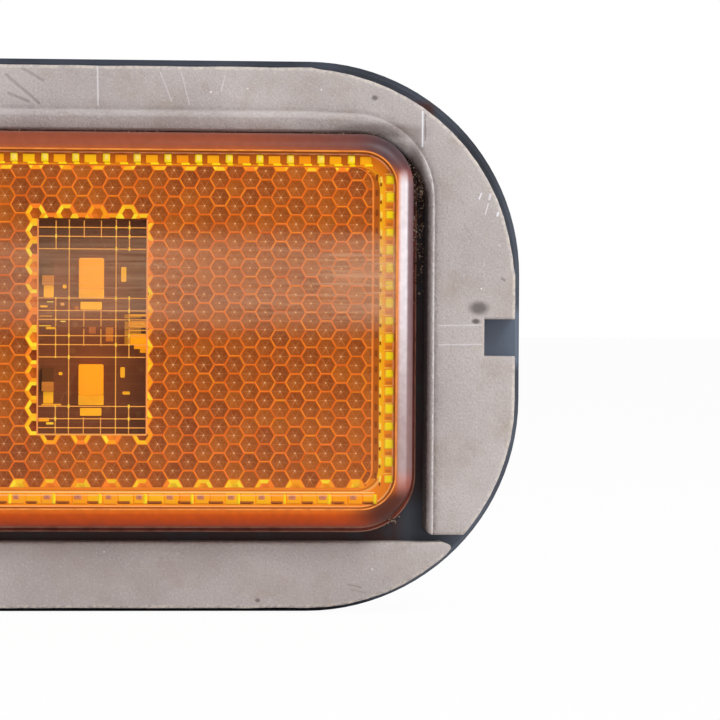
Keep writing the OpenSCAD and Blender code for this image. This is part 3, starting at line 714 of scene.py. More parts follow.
def draw_back(bm, ledge):
    """Draws the free edges of a foam skin back to the flange and closes the back.
    Where the foam hangs over the lip of the lens, a ledge leaves room for the lip."""
    free = [e for e in bm.edges if e.is_boundary]
    made = bmesh.ops.extrude_edge_only(bm, edges=free)["geom"]
    verts = [g for g in made if isinstance(g, bmesh.types.BMVert)]
    for v in verts:
        v.co.y = -21.9 * mm
    edges = [g for g in made if isinstance(g, bmesh.types.BMEdge)]
    made = bmesh.ops.extrude_edge_only(bm, edges=edges)["geom"]
    verts = [g for g in made if isinstance(g, bmesh.types.BMVert)]
    for v in verts:
        if ledge:
            x, z = v.co.x / mm, v.co.z / mm
            if abs(x) < leg_inner + 0.4 and leg_end + 0.5 < z < 31:
                lip_x, lip_z, lip_r = leg_inner - 9.0, window_top - 9.0, 9.0
                dx, dz = abs(x) - lip_x, z - lip_z
                if dx > 0 and dz > 0 and math.hypot(dx, dz) < lip_r:
                    grow = lip_r / math.hypot(dx, dz)
                    v.co.x = math.copysign((lip_x + dx * grow) * mm, v.co.x)
                    v.co.z = (lip_z + dz * grow) * mm
                elif dz > 0 and dx <= 0:
                    v.co.z = window_top * mm
    edges = [g for g in made if isinstance(g, bmesh.types.BMEdge)]
    made = bmesh.ops.extrude_edge_only(bm, edges=edges)["geom"]
    verts = [g for g in made if isinstance(g, bmesh.types.BMVert)]
    for v in verts:
        v.co.y = flange_front * mm
    edges = [g for g in made if isinstance(g, bmesh.types.BMEdge)]
    bmesh.ops.triangle_fill(bm, use_beauty=True, use_dissolve=False, edges=edges)
    bmesh.ops.recalc_face_normals(bm, faces=bm.faces[:])


print("a foam skin goes back to y =", flange_front)

# %% Main foam piece
bm = bmesh.new()
dirt_and_shade_layer = bm.verts.layers.float.new("dirt_and_shade")
crest_layer = bm.verts.layers.float.new("crest")
edge_layer = bm.verts.layers.float.new("cut_edge")
hoops = []
# In this table grime is dirt with painted shade by the window and in the crease, and crest is a painted
# highlight on the bead
for half_x, top, radius, y, dirt_and_shade, crest in (
    (45.20, 27.50, 9.7, -24.00, 1.00, 0.0),
    (45.25, 27.62, 9.7, -24.55, 0.95, 0.0),
    (45.36, 27.95, 9.8, -24.90, 0.60, 0.0),
    (45.60, 28.70, 10.1, -25.20, 0.40, 0.0),
    (45.85, 29.45, 10.4, -25.38, 0.25, 0.1),
    (46.02, 30.00, 10.6, -25.36, 0.10, 1.0),
    (46.16, 30.30, 10.8, -25.00, 0.00, 0.6),
    (46.26, 30.46, 10.9, -24.42, 0.55, 0.0),
    (46.48, 30.66, 11.0, -24.46, 0.45, 0.0),
    (46.90, 30.95, 11.3, -24.60, 0.00, 0.0),
):
    # The low ends lie below the legs, where the skin is cut off
    hoops.append(hoop(bm, -half_x, half_x, -25.8 - radius, top, radius, y))
    for v in {v for edge in hoops[-1] for v in edge.verts}:
        beside = max(0.0, min(1.0, (26.0 - v.co.z / mm) / 5))
        v[dirt_and_shade_layer] = dirt_and_shade * (0.3 + 0.7 * beside)
        v[crest_layer] = crest * (0.15 + 0.85 * beside)
# The outer hoops mark the cut edge, which the material paints pale: frayed foam and a painted highlight
for inset, y in ((0.55, -24.60), (0.25, -24.55), (0.08, -24.42), (0.0, -24.15)):
    wide, tall = foam_half_wide - inset, foam_half_tall - inset
    hoops.append(hoop(bm, -wide, wide, -tall, tall, foam_round - inset, y))
    for v in {v for edge in hoops[-1] for v in edge.verts}:
        v[edge_layer] = 0.0 if inset > 0.5 else 1.0
for inner, outer in zip(hoops, hoops[1:]):
    bmesh.ops.bridge_loops(bm, edges=inner + outer)
bmesh.ops.bisect_plane(
    bm, geom=bm.verts[:] + bm.edges[:] + bm.faces[:], dist=1e-7,
    plane_co=(0, 0, leg_end * mm), plane_no=(0, 0, 1), clear_inner=True,
)
print("bridged skin:", len(bm.faces), "faces")

# %% Notches, rounded corners and waves
slice_up(bm, "x", -56.0, 56.0, 1.4)
slice_up(bm, "z", -25.2, 35.4, 1.4)
for at in (0.12, 0.3, 0.5):
    slice_up(bm, "z", leg_end + at, leg_end + at, 1)
    for side in (-1, 1):
        slice_up(bm, "z", side * (notch_half + at), side * (notch_half + at), 1)
        slice_up(bm, "x", side * (notch_reach - at), side * (notch_reach - at), 1)
for side in (-1, 1):
    slice_up(bm, "z", side * notch_half, side * notch_half, 1)
    slice_up(bm, "x", side * notch_reach, side * notch_reach, 1)
inside_notch = [
    f for f in bm.faces
    if abs(f.calc_center_median().x) > notch_reach * mm and abs(f.calc_center_median().z) < notch_half * mm
]
bmesh.ops.delete(bm, geom=inside_notch, context="FACES")
for v in bm.verts:
    x, z = abs(v.co.x / mm), v.co.z / mm
    v.co.y += rim_drop(z - leg_end) * mm
    if x > notch_reach - 1:
        dx, dz = max(0.0, notch_reach - x), max(0.0, abs(z) - notch_half)
        v.co.y += rim_drop(math.hypot(dx, dz), 0.4) * mm
    pull_in(v)
    # The lower inner corner of each leg is rounded
    dx, dz = leg_inner + leg_round - x, leg_end + leg_round - z
    if dx > 0 and dz > 0 and math.hypot(dx, dz) > leg_round:
        shrink = leg_round / math.hypot(dx, dz)
        v.co.x = math.copysign((leg_inner + leg_round - dx * shrink) * mm, v.co.x)
        v.co.z = (leg_end + leg_round - dz * shrink) * mm
wave(bm)
draw_back(bm, True)
piece("foam_gasket", bm, [foam], smooth=50, replaces=["gasket_main"])

# %% Bottom foam strip
bm = bmesh.new()
edge_layer = bm.verts.layers.float.new("cut_edge")
strip_low = -36.65
hoops = []
for inset, y in ((0.0, -24.15), (0.08, -24.42), (0.25, -24.55)):
    wide, tall = foam_half_wide - inset, foam_half_tall - inset
    hoops.append(hoop(bm, -wide, wide, strip_low + inset, tall, foam_round - inset, y))
for v in bm.verts:
    v[edge_layer] = 1.0
middle = outline(bm, -56.75, 56.75, strip_low + 0.55, 35.75, 27.35, foam_front)
hoops.append(middle.edges[:])
for outer, inner in zip(hoops, hoops[1:]):
    bmesh.ops.bridge_loops(bm, edges=outer + inner)
bmesh.ops.bisect_plane(
    bm, geom=bm.verts[:] + bm.edges[:] + bm.faces[:], dist=1e-7,
    plane_co=(0, 0, strip_top * mm), plane_no=(0, 0, -1), clear_inner=True,
)
slice_up(bm, "x", -49.0, 49.0, 1.4)
slice_up(bm, "z", -35.0, -28.6, 1.4)
for at in (0.12, 0.3, 0.5):
    slice_up(bm, "z", strip_top - at, strip_top - at, 1)
tip_x, tip_z, tip_round = 47.8, -28.65, 0.9
for v in bm.verts:
    from_top = strip_top - v.co.z / mm
    v.co.y += rim_drop(from_top) * mm
    # The strip's top edge is painted pale as well: frayed foam and a painted highlight
    v[edge_layer] = max(v[edge_layer], 1 - from_top / 0.35)
    # The sharp ends of the strip are rounded
    dx, dz = abs(v.co.x / mm) - tip_x, v.co.z / mm - tip_z
    away = math.hypot(dx, dz)
    if away > tip_round and dx > -0.02 and math.atan2(dz, dx) > -0.75:
        v.co.x = math.copysign((tip_x + dx * tip_round / away) * mm, v.co.x)
        v.co.z = (tip_z + dz * tip_round / away) * mm
wave(bm)
draw_back(bm, False)
piece("foam_bottom_strip", bm, [foam], smooth=50, replaces=["gasket_bottom_strip"])

# %% [markdown]
# ## Amber acrylic
# The lens is moulded of clear amber PMMA. Looking straight in, its face is a window: it tints
# what lies behind, mirrors a little by Fresnel, and a band across its middle is dulled by fine
# rubbing. Its rounded edge and wall are seen along their length, so their colour is strong, and
# painted shade, painted reflections and a painted highlight are laid over it.
# The face is therefore a see-through shader, and the wall a solid colour with a satin gloss.

# %% Tint
tint = linear("#feeebc")


def behind_amber(hex_text):
    """The colour that looks like the given one when light goes in and out through the tinted face."""
    seen = linear(hex_text)
    return [min(0.92, max(0.0, (s - 0.009)) / (t * t * 0.93)) for s, t in zip(seen, tint[:3])] + [1.0]


print("tint after going in and out:", [round(t * t, 2) for t in tint[:3]])

# %% Clear face
material, tree, output = new_material("pmma_amber_clear_face")
place = add(tree, "ShaderNodeTexCoord").outputs["Object"]
clear = add(tree, "ShaderNodeBsdfTransparent", {"Color": tint})
parts = add(tree, "ShaderNodeSeparateXYZ", {0: place})
from_band = add(tree, "ShaderNodeMath", {0: parts.outputs["Z"], 1: 7.3 * mm}, operation="SUBTRACT")
from_band = add(tree, "ShaderNodeMath", {0: from_band.outputs[0]}, operation="ABSOLUTE")
band = add(
    tree,
    "ShaderNodeMapRange",
    {"Value": from_band.outputs[0], "From Min": 8.2 * mm, "From Max": 3.4 * mm},
    interpolation_type="SMOOTHSTEP",
)
# Rubbing marks run along the lamp, about 0.25 mm apart and a centimetre long
stretched = add(tree, "ShaderNodeMapping", {"Vector": place, "Scale": (70.0, 0.0, 2600.0)})
streaks = add(tree, "ShaderNodeTexNoise", {"Vector": stretched.outputs[0], "Scale": 1.0, "Detail": 4.0})
streak = add(
    tree, "ShaderNodeMapRange",
    {"Value": streaks.outputs["Fac"], "From Min": 0.36, "From Max": 0.66, "To Min": 0.45},
)
sideways = add(
    tree, "ShaderNodeMapRange",
    {"Value": parts.outputs["X"], "From Min": -12 * mm, "From Max": 36 * mm, "To Min": 0.7},
)
rubbed = add(tree, "ShaderNodeMath", {0: band.outputs[0], 1: streak.outputs[0]}, operation="MULTIPLY")
rubbed = add(tree, "ShaderNodeMath", {0: rubbed.outputs[0], 1: sideways.outputs[0]}, operation="MULTIPLY")
rubbed = add(tree, "ShaderNodeMath", {0: rubbed.outputs[0], 1: 0.30}, operation="MULTIPLY")
patch = spot(tree, place, (35.5, 8.2), (7.5, 7.0))
patch = add(tree, "ShaderNodeMath", {0: patch, 1: streak.outputs[0]}, operation="MULTIPLY")
haze = add(
    tree, "ShaderNodeMath", {0: patch.outputs[0], 1: 0.14, 2: rubbed.outputs[0]}, operation="MULTIPLY_ADD",
)
print("rubbed band:", len(tree.nodes), "nodes")

# %% Scratches, veil and mirror
for start, end, width, amount in (
    ((8.0, 9.6), (9.6, 9.2), 0.12, 0.25),
    ((-0.5, 13.2), (0.4, 10.8), 0.08, 0.14),
    ((1.2, 13.0), (2.2, 10.2), 0.08, 0.14),
    ((16.0, 4.4), (27.0, 4.2), 0.10, 0.12),
    ((17.0, -3.0), (21.0, -3.6), 0.08, 0.1),
    ((22.0, 17.0), (26.0, 12.6), 0.08, 0.1),
    ((-6.5, -13.2), (-2.0, -4.4), 0.08, 0.12),
):
    haze = add(
        tree, "ShaderNodeMath",
        {0: mark(tree, place, start, end, width), 1: amount, 2: haze.outputs[0]}, operation="MULTIPLY_ADD",
    )
veil = add(tree, "ShaderNodeBsdfDiffuse", {"Color": linear("#ecc09c")})
worn = add(tree, "ShaderNodeMixShader", {0: haze.outputs[0], 1: clear.outputs[0], 2: veil.outputs[0]})
mirror = add(tree, "ShaderNodeBsdfGlossy", {"Color": linear("#acacac"), "Roughness": 0.05})
# Light on its way out meets the face from behind, where the mirror must not shut it in
behind = add(tree, "ShaderNodeNewGeometry").outputs["Backfacing"]
front_only = add(tree, "ShaderNodeMath", {0: 1.0, 1: behind}, operation="SUBTRACT")
facing = add(tree, "ShaderNodeFresnel", {"IOR": 1.49})
facing = add(tree, "ShaderNodeMath", {0: facing.outputs[0], 1: front_only.outputs[0]}, operation="MULTIPLY")
finish_with(
    tree, output,
    add(tree, "ShaderNodeMixShader", {0: facing.outputs[0], 1: worn.outputs[0], 2: mirror.outputs[0]}),
)
amber_face = material
print("made", material.name)

# %% Wall of the lens
material, tree, output = new_material("pmma_amber_wall")
place = add(tree, "ShaderNodeTexCoord").outputs["Object"]
parts = add(tree, "ShaderNodeSeparateXYZ", {0: place})
depth = add(
    tree, "ShaderNodeMapRange", {"Value": parts.outputs["Y"], "From Min": -30.2 * mm, "From Max": -21.5 * mm}
)
deep = add(tree, "ShaderNodeValToRGB", {"Fac": depth.outputs[0]})
# From the bright front edge the wall darkens to near black at its foot: the amber's colour seen along the
# wall, with painted shade towards the flange
stops = (
    (0.0, "#dc6a10"), (0.012, "#c84e00"), (0.10, "#b84000"), (0.40, "#8e2a02"), (0.80, "#5a1404"),
    (1.0, "#360a04"),
)
ramp = deep.color_ramp
ramp.elements[0].color = linear(stops[0][1])
ramp.elements[1].position, ramp.elements[1].color = stops[-1][0], linear(stops[-1][1])
for position, shade in stops[1:-1]:
    ramp.elements.new(position).color = linear(shade)
wall_colour = deep.outputs["Color"]
print("wall ramp:", len(ramp.elements), "stops")

# %% Painted reflections on the upper edge and corners
# The upper edge is painted a pinkish brown, darker towards the corner: a painted reflection of what lies
# above the lamp
upper = add(
    tree, "ShaderNodeMapRange",
    {"Value": parts.outputs["Z"], "From Min": 23.0 * mm, "From Max": 25.6 * mm},
)
wall_colour = stain(tree, upper.outputs[0], 0.85, wall_colour, linear("#8e4c36"))
away = add(tree, "ShaderNodeMath", {0: parts.outputs["X"]}, operation="ABSOLUTE")
to_corner = add(
    tree, "ShaderNodeMapRange",
    {"Value": away.outputs[0], "From Min": 20 * mm, "From Max": 41 * mm},
)
corner = add(tree, "ShaderNodeMath", {0: upper.outputs[0], 1: to_corner.outputs[0]}, operation="MULTIPLY")
wall_colour = stain(tree, corner.outputs[0], 0.85, wall_colour, linear("#4c3a42"))
# The rounded corners are painted dark: painted reflection and painted shade where the wall turns
for side in (-1, 1):
    for centre, radius, shade in (
        ((side * 42.0, 24.8), (8.2, 4.9), "#453a42"),
        ((side * 41.4, -23.2), (9.0, 4.6), "#33201c"),
    ):
        turn_mask = spot(tree, place, centre, radius)
        wall_colour = stain(tree, turn_mask, 0.9, wall_colour, linear(shade))
print("edge and corners:", len(tree.nodes), "nodes")

# %% Painted highlight on the ends of the wall
# The ends carry a pale painted highlight along the round edge, and a greyish painted reflection behind it
across = add(
    tree, "ShaderNodeMapRange",
    {"Value": away.outputs[0], "From Min": 40.7 * mm, "From Max": 43.0 * mm},
)
end_ramp = add(tree, "ShaderNodeValToRGB", {"Fac": across.outputs[0]})
ramp = end_ramp.color_ramp
stops = (
    (0.0, "#e8884c"), (0.08, "#f0b8a4"), (0.20, "#eeeaee"), (0.52, "#eae6ec"), (0.64, "#84787f"),
    (0.85, "#6a5a62"), (1.0, "#5c4c54"),
)
ramp.elements[0].color = linear(stops[0][1])
ramp.elements[1].position, ramp.elements[1].color = stops[-1][0], linear(stops[-1][1])
for position, shade in stops[1:-1]:
    ramp.elements.new(position).color = linear(shade)
end_low = add(
    tree, "ShaderNodeMapRange",
    {"Value": parts.outputs["Z"], "From Min": -22 * mm, "From Max": -17 * mm},
    interpolation_type="SMOOTHSTEP",
)
end_high = add(
    tree, "ShaderNodeMapRange",
    {"Value": parts.outputs["Z"], "From Min": 22.8 * mm, "From Max": 20.4 * mm},
    interpolation_type="SMOOTHSTEP",
)
end_side = add(
    tree, "ShaderNodeMapRange",
    {"Value": away.outputs[0], "From Min": 40.4 * mm, "From Max": 40.8 * mm},
)
end_mask = add(tree, "ShaderNodeMath", {0: end_low.outputs[0], 1: end_high.outputs[0]}, operation="MULTIPLY")
end_mask = add(tree, "ShaderNodeMath", {0: end_mask.outputs[0], 1: end_side.outputs[0]}, operation="MULTIPLY")
# Lower down the painted highlight fades to a grey
greyer = add(
    tree, "ShaderNodeMapRange", {"Value": parts.outputs["Z"], "From Min": 9 * mm, "From Max": -15 * mm},
    interpolation_type="SMOOTHSTEP",
)
end_colour = stain(tree, greyer.outputs[0], 0.72, end_ramp.outputs["Color"], linear("#86706e"))
wall_colour = stain(tree, end_mask.outputs[0], 0.9, wall_colour, end_colour)
print("pale ends:", len(tree.nodes), "nodes")

# %% Streaks and shader of the wall
drawn = add(tree, "ShaderNodeMapping", {"Vector": place, "Scale": (900.0, 60.0, 900.0)})
streaks = add(tree, "ShaderNodeTexNoise", {"Vector": drawn.outputs[0], "Scale": 1.0, "Detail": 5.0})
uneven = add(
    tree, "ShaderNodeMapRange",
    {"Value": streaks.outputs["Fac"], "From Min": 0.3, "From Max": 0.7, "To Min": 0.0, "To Max": 1.0},
)
wall_colour = stain(tree, uneven.outputs[0], 0.22, wall_colour, linear("#5a2a18"))
bump = add(
    tree, "ShaderNodeBump", {"Height": streaks.outputs["Fac"], "Strength": 0.12, "Distance": 0.05 * mm}
)
wall = add(
    tree,
    "ShaderNodeBsdfPrincipled",
    {"Base Color": wall_colour, "Roughness": 0.34, "IOR": 1.49, "Normal": bump.outputs[0],
     "Specular IOR Level": 0.22},
)
finish_with(tree, output, wall)
amber_wall = material
print("made", material.name)

# %% Edge line and lip


def amber_solid(name, shade, dark, size, roughness):
    """An amber colour with a darker one clouding it at a size in mm."""
    material, tree, output = new_material(name)
    place = add(tree, "ShaderNodeTexCoord").outputs["Object"]
    cloud = add(tree, "ShaderNodeTexNoise", {"Vector": place, "Scale": 1 / (size * mm), "Detail": 4.0})
    amount = add(
        tree, "ShaderNodeMapRange", {"Value": cloud.outputs["Fac"], "From Min": 0.42, "From Max": 0.66}
    )
    colour = stain(tree, amount.outputs[0], 0.7, linear(shade), linear(dark))
    shader = add(
        tree, "ShaderNodeBsdfPrincipled",
        {"Base Color": colour, "Roughness": roughness, "IOR": 1.49,
         "Coat Weight": 0.4, "Coat Roughness": 0.1},
    )
    finish_with(tree, output, shader)
    return material


# The bright edge line is a painted highlight, and the lip line a pale painted highlight on the lip's edges
amber_edge = amber_solid("pmma_amber_bright_edge", "#ec8c30", "#cc6414", 1.6, 0.3)
amber_lip_line = amber_solid("pmma_amber_lip_line", "#dc9c86", "#b46a54", 2.0, 0.3)
amber_lip = amber_solid("pmma_amber_lip", "#8a3e2c", "#54221a", 2.0, 0.35)
print("made", amber_edge.name, amber_lip_line.name, amber_lip.name)

# %% [markdown]
# ## Lens shell
# The shell is one outline drawn forward, drafted a little, and bevelled round at the front
# with ten steps. A narrow line is inset into the flat face and painted bright, a painted
# highlight where light gathers at the end of the rounding. A lip runs round its foot, as the
# solid has it, with pale painted highlights along its edges.

# %% Lens shell
lens_mid = 0.9
bm = bmesh.new()
foot = outline(bm, -43.3, 43.3, lens_mid - 26.65, lens_mid + 26.65, 7.1, -21.2, steps=20)
drawn = bmesh.ops.extrude_face_region(bm, geom=[foot])["geom"]
front_verts = [g for g in drawn if isinstance(g, bmesh.types.BMVert)]
front = next(g for g in drawn if isinstance(g, bmesh.types.BMFace))
bmesh.ops.translate(bm, verts=front_verts, vec=(0, -9.0 * mm, 0))
bmesh.ops.scale(
    bm, verts=front_verts, vec=(42.9 / 43.3, 1, 26.25 / 26.65),
    space=Matrix.Translation((0, 0, -lens_mid * mm)),
)
bmesh.ops.bevel(
    bm, geom=front.edges[:], offset=2.2 * mm, offset_type="OFFSET", segments=10, profile=0.5,
    affect="EDGES", material=-1, clamp_overlap=False,
)
bmesh.ops.delete(
    bm, geom=[f for f in bm.faces if f.calc_center_median().y > -21.3 * mm], context="FACES_ONLY",
)
front = max(bm.faces, key=lambda f: f.calc_area())
line = bmesh.ops.inset_region(bm, faces=[front], thickness=0.20 * mm, depth=0)["faces"]
for face in line:
    face.material_index = 2
front.material_index = 1
lip = [
    hoop(bm, -x, x, lens_mid - high, lens_mid + high, radius, y, steps=20)
    for x, high, radius, y in (
        (44.10, 27.45, 7.90, -20.20), (44.10, 27.45, 7.90, -21.40), (44.02, 27.37, 7.82, -21.60),
        (43.90, 27.25, 7.70, -21.70), (43.55, 26.90, 7.35, -21.62), (43.30, 26.65, 7.10, -21.55),
    )
]
# Bands 1, 2 and 4 of the lip take the pale lip line: painted highlights on its edges
for k, (outer, inner) in enumerate(zip(lip, lip[1:])):
    for face in bmesh.ops.bridge_loops(bm, edges=outer + inner)["faces"]:
        face.material_index = 4 if k in (1, 2, 4) else 3
bmesh.ops.recalc_face_normals(bm, faces=bm.faces[:])
piece(
    "lens_shell", bm, [amber_wall, amber_face, amber_edge, amber_lip, amber_lip_line],
    smooth=35, replaces=["lens"],
)

# %% [markdown]
# ## Reflex prisms
# Behind the face stands a field of six-sided prisms, 2.36 mm across their flats, that send
# light back where it came from. Seen through the face, each is a brown-orange cell with a
# bright border, a point of light in its middle and six thin rays to its corners. One cell is
# modelled from a six-sided circle: an inset makes the border and a poke makes the hollow
# pyramid. It is copied over the lattice, each copy in its own tone. The rays follow a map
# that each cell carries, whose unit is one millimetre from its centre.

# %% Rays of a prism
material, tree, output = new_material("pmma_amber_prisms")
shade = add(tree, "ShaderNodeAttribute", attribute_type="GEOMETRY", attribute_name="shade")
spread = add(tree, "ShaderNodeUVMap", uv_map="cell")
rays = None
for across in ((0.0, 1.0, 0.0), (0.866, -0.5, 0.0), (0.866, 0.5, 0.0)):
    off = add(tree, "ShaderNodeVectorMath", {0: spread.outputs[0], 1: across}, operation="DOT_PRODUCT")
    off = add(tree, "ShaderNodeMath", {0: off.outputs["Value"]}, operation="ABSOLUTE")
    rays = off if rays is None else add(
        tree, "ShaderNodeMath", {0: rays.outputs[0], 1: off.outputs[0]}, operation="MINIMUM"
    )
from_middle = add(tree, "ShaderNodeVectorMath", {0: spread.outputs[0]}, operation="LENGTH")
# A ray is 0.05 mm wide, less than a pixel of the picture, so it is drawn a little wider
ray_mask = add(tree, "ShaderNodeMapRange", {"Value": rays.outputs[0], "From Min": 0.07, "From Max": 0.025})
ray_fade = add(
    tree, "ShaderNodeMapRange",
    {"Value": from_middle.outputs["Value"], "From Min": 1.25, "From Max": 0.1, "To Min": 0.15, "To Max": 0.9},
)
ray_mask = add(tree, "ShaderNodeMath", {0: ray_mask.outputs[0], 1: ray_fade.outputs[0]}, operation="MULTIPLY")
inside = add(
    tree, "ShaderNodeMath", {0: from_middle.outputs["Value"], 1: 1.3}, operation="LESS_THAN"
)
ray_mask = add(tree, "ShaderNodeMath", {0: ray_mask.outputs[0], 1: inside.outputs[0]}, operation="MULTIPLY")
point_mask = add(
    tree, "ShaderNodeMapRange", {"Value": from_middle.outputs["Value"], "From Min": 0.13, "From Max": 0.05}
)
glow = add(
    tree, "ShaderNodeMapRange", {"Value": from_middle.outputs["Value"], "From Min": 0.75, "From Max": 0.1}
)
print("rays:", len(tree.nodes), "nodes")

# %% Prism material
place = add(tree, "ShaderNodeTexCoord").outputs["Object"]
mottle = add(tree, "ShaderNodeTexNoise", {"Vector": place, "Scale": 1 / (0.28 * mm), "Detail": 2.0})
mottled = add(
    tree, "ShaderNodeMapRange", {"Value": mottle.outputs["Fac"], "From Min": 0.35, "From Max": 0.7}
)
mottled = add(tree, "ShaderNodeMath", {0: mottled.outputs[0], 1: inside.outputs[0]}, operation="MULTIPLY")
some = add(tree, "ShaderNodeTexNoise", {"Vector": place, "Scale": 1 / (1.3 * mm), "Detail": 1.0})
some = add(
    tree, "ShaderNodeMapRange",
    {"Value": some.outputs["Fac"], "From Min": 0.40, "From Max": 0.62, "To Min": 0.25},
)
ray_mask = add(tree, "ShaderNodeMath", {0: ray_mask.outputs[0], 1: some.outputs[0]}, operation="MULTIPLY")
colour = stain(tree, mottled.outputs[0], 0.38, shade.outputs["Color"], behind_amber("#aa6434"))
colour = stain(tree, glow.outputs[0], 0.22, colour, behind_amber("#a86234"))
colour = stain(tree, ray_mask.outputs[0], 0.6, colour, behind_amber("#c88a58"))
colour = stain(tree, point_mask.outputs[0], 0.95, colour, behind_amber("#f2be7c"))
# Moulding is never quite even: the field drifts between warmer and duller patches
drift = add(tree, "ShaderNodeTexNoise", {"Vector": place, "Scale": 1 / (16 * mm), "Detail": 2.0})
drift = add(tree, "ShaderNodeMapRange", {"Value": drift.outputs["Fac"], "From Min": 0.35, "From Max": 0.65})
colour = stain(tree, drift.outputs[0], 0.12, colour, behind_amber("#e07a20"))
prism = add(
    tree, "ShaderNodeBsdfPrincipled",
    {"Base Color": colour, "Roughness": 0.45, "IOR": 1.49, "Specular IOR Level": 0.3},
)
finish_with(tree, output, prism)
amber_prisms = material
print("made", material.name)

# %% Sizes and tones of the field
random.seed(11)
field_x, field_low, field_top = 37.36, -20.20, 22.70
window = (-7.28, 7.28, -13.18, 15.58)
flats = 2.36
column_step = flats * math.sqrt(3) / 2
cell_tones = ("#8a3c10", "#84360c", "#924212", "#863a12", "#7c320c", "#984812")
# The bright border tones and the bright tones of the cut prisms at the field's edge are painted light that
# the clear amber lets through
border_tones = ("#dc661e", "#d25c1e", "#e47228", "#c8561a", "#d8661a", "#e27c20")
bright_tones = ("#ffb020", "#ffd030", "#f6961e", "#ee7c28", "#ffbe28")
dark_tones = ("#a84c18", "#c4601a", "#7c2e12", "#d8741c", "#8a3c1c")


def paint(faces, layer, shade):
    """Gives every corner of some faces one colour."""
    for face in faces:
        for loop in face.loops:
            loop[layer] = behind_amber(shade)


print("columns are", round(column_step, 3), "mm apart")

# %% One prism
bm = bmesh.new()
shade_layer = bm.loops.layers.float_color.new("shade")
map_layer = bm.loops.layers.uv.new("cell")
bmesh.ops.create_circle(bm, cap_ends=True, segments=6, radius=flats / math.sqrt(3) * mm)
bmesh.ops.rotate(bm, verts=bm.verts[:], cent=(0, 0, 0), matrix=Matrix.Rotation(math.pi / 2, 3, "X"))
spin_to = bm.verts[:][0].co.x / (flats / math.sqrt(3) * mm)
if abs(abs(spin_to) - 1) > 0.01 and abs(abs(spin_to) - 0.5) > 0.01:
    bmesh.ops.rotate(bm, verts=bm.verts[:], cent=(0, 0, 0), matrix=Matrix.Rotation(math.pi / 6, 3, "Y"))
middle = bm.faces[:][0]
border = bmesh.ops.inset_individual(bm, faces=[middle], thickness=0.15 * mm, depth=0)["faces"]
bmesh.ops.translate(bm, verts=middle.verts[:], vec=(0, 0.08 * mm, 0))
hollow = bmesh.ops.poke(bm, faces=[middle])
bmesh.ops.translate(bm, verts=hollow["verts"], vec=(0, 0.30 * mm, 0))
bmesh.ops.translate(bm, verts=bm.verts[:], vec=(0, -28.95 * mm, 0))
for face in bm.faces:
    for loop in face.loops:
        far = face in border
        loop[map_layer].uv = (9, 9) if far else (loop.vert.co.x / mm, loop.vert.co.z / mm)
master = bm.verts[:] + bm.edges[:] + bm.faces[:]
print("one prism:", len(bm.faces), "faces")

# %% [markdown]
# The copies stand in columns, and every second column is half a prism higher. Copies at the
# edge of the field have brighter tones, painted light that the clear amber lets through, and
# those beside the window have darker ones. The field is then cut along both by planes.

# %% Copies over the field
count = 0
for j in range(-18, 19):
    x = 0.587 + j * column_step
    for k in range(-11, 12):
        z = 0.93 + (flats / 2 if j % 2 == 0 else 0) + k * flats
        if abs(x) > field_x + 1.2 or not field_low - 1.0 < z < field_top + 1.0:
            continue
        in_x = window[0] + 1.0 < x < window[1] - 1.0
        if in_x and window[2] + 1.0 < z < window[3] - 1.0:
            continue
        copies = bmesh.ops.duplicate(bm, geom=master)["geom"]
        verts = [g for g in copies if isinstance(g, bmesh.types.BMVert)]
        faces = [g for g in copies if isinstance(g, bmesh.types.BMFace)]
        bmesh.ops.translate(bm, verts=verts, vec=(x * mm, 0, z * mm))
        near_x = window[0] - 1.30 < x < window[1] + 1.30
        by_window = near_x and window[2] - 1.0 < z < window[3] + 1.0
        cut = by_window or z > field_top or z < field_low + 0.3
        inner = random.choice(dark_tones if by_window else bright_tones[2:] if cut else cell_tones)
        if cut:
            core = [v for v in verts if math.hypot(v.co.x / mm - x, v.co.z / mm - z) < 1.25]
            bmesh.ops.scale(
                bm, verts=core, vec=(0.66, 1, 0.66), space=Matrix.Translation((-x * mm, 0, -z * mm))
            )
        for face in faces:
            if len(face.verts) == 4:
                paint([face], shade_layer, random.choice(bright_tones if cut else border_tones))
            else:
                paint([face], shade_layer, inner)
            if cut:
                for loop in face.loops:
                    loop[map_layer].uv = (9, 9)
        count += 1
bmesh.ops.delete(bm, geom=[g for g in master if isinstance(g, bmesh.types.BMVert)], context="VERTS")
print("prisms:", count)

# %% Cut the field to its edges and window
for co, no in (
    ((field_x, 0, 0), (1, 0, 0)), ((-field_x, 0, 0), (-1, 0, 0)),
    ((0, 0, field_top), (0, 0, 1)), ((0, 0, field_low), (0, 0, -1)),
):
    bmesh.ops.bisect_plane(
        bm, geom=bm.verts[:] + bm.edges[:] + bm.faces[:], dist=1e-7,
        plane_co=Vector(co) * mm, plane_no=no, clear_outer=True,
    )
for co, no in (
    ((window[0], 0, 0), (1, 0, 0)), ((window[1], 0, 0), (1, 0, 0)),
    ((0, 0, window[2]), (0, 0, 1)), ((0, 0, window[3]), (0, 0, 1)),
):
    near = set()
    for face in bm.faces:
        middle_of = face.calc_center_median() / mm
        if abs(middle_of.x) < 9.5 and -15.5 < middle_of.z < 18:
            near.add(face)
            near.update(face.edges)
            near.update(face.verts)
    bmesh.ops.bisect_plane(bm, geom=list(near), dist=1e-7, plane_co=Vector(co) * mm, plane_no=no)
inside_window = [
    f for f in bm.faces
    if window[0] * mm < f.calc_center_median().x < window[1] * mm
    and window[2] * mm < f.calc_center_median().z < window[3] * mm
]
bmesh.ops.delete(bm, geom=inside_window, context="FACES")
prisms = piece("reflex_prisms", bm, [amber_prisms], smooth=1)

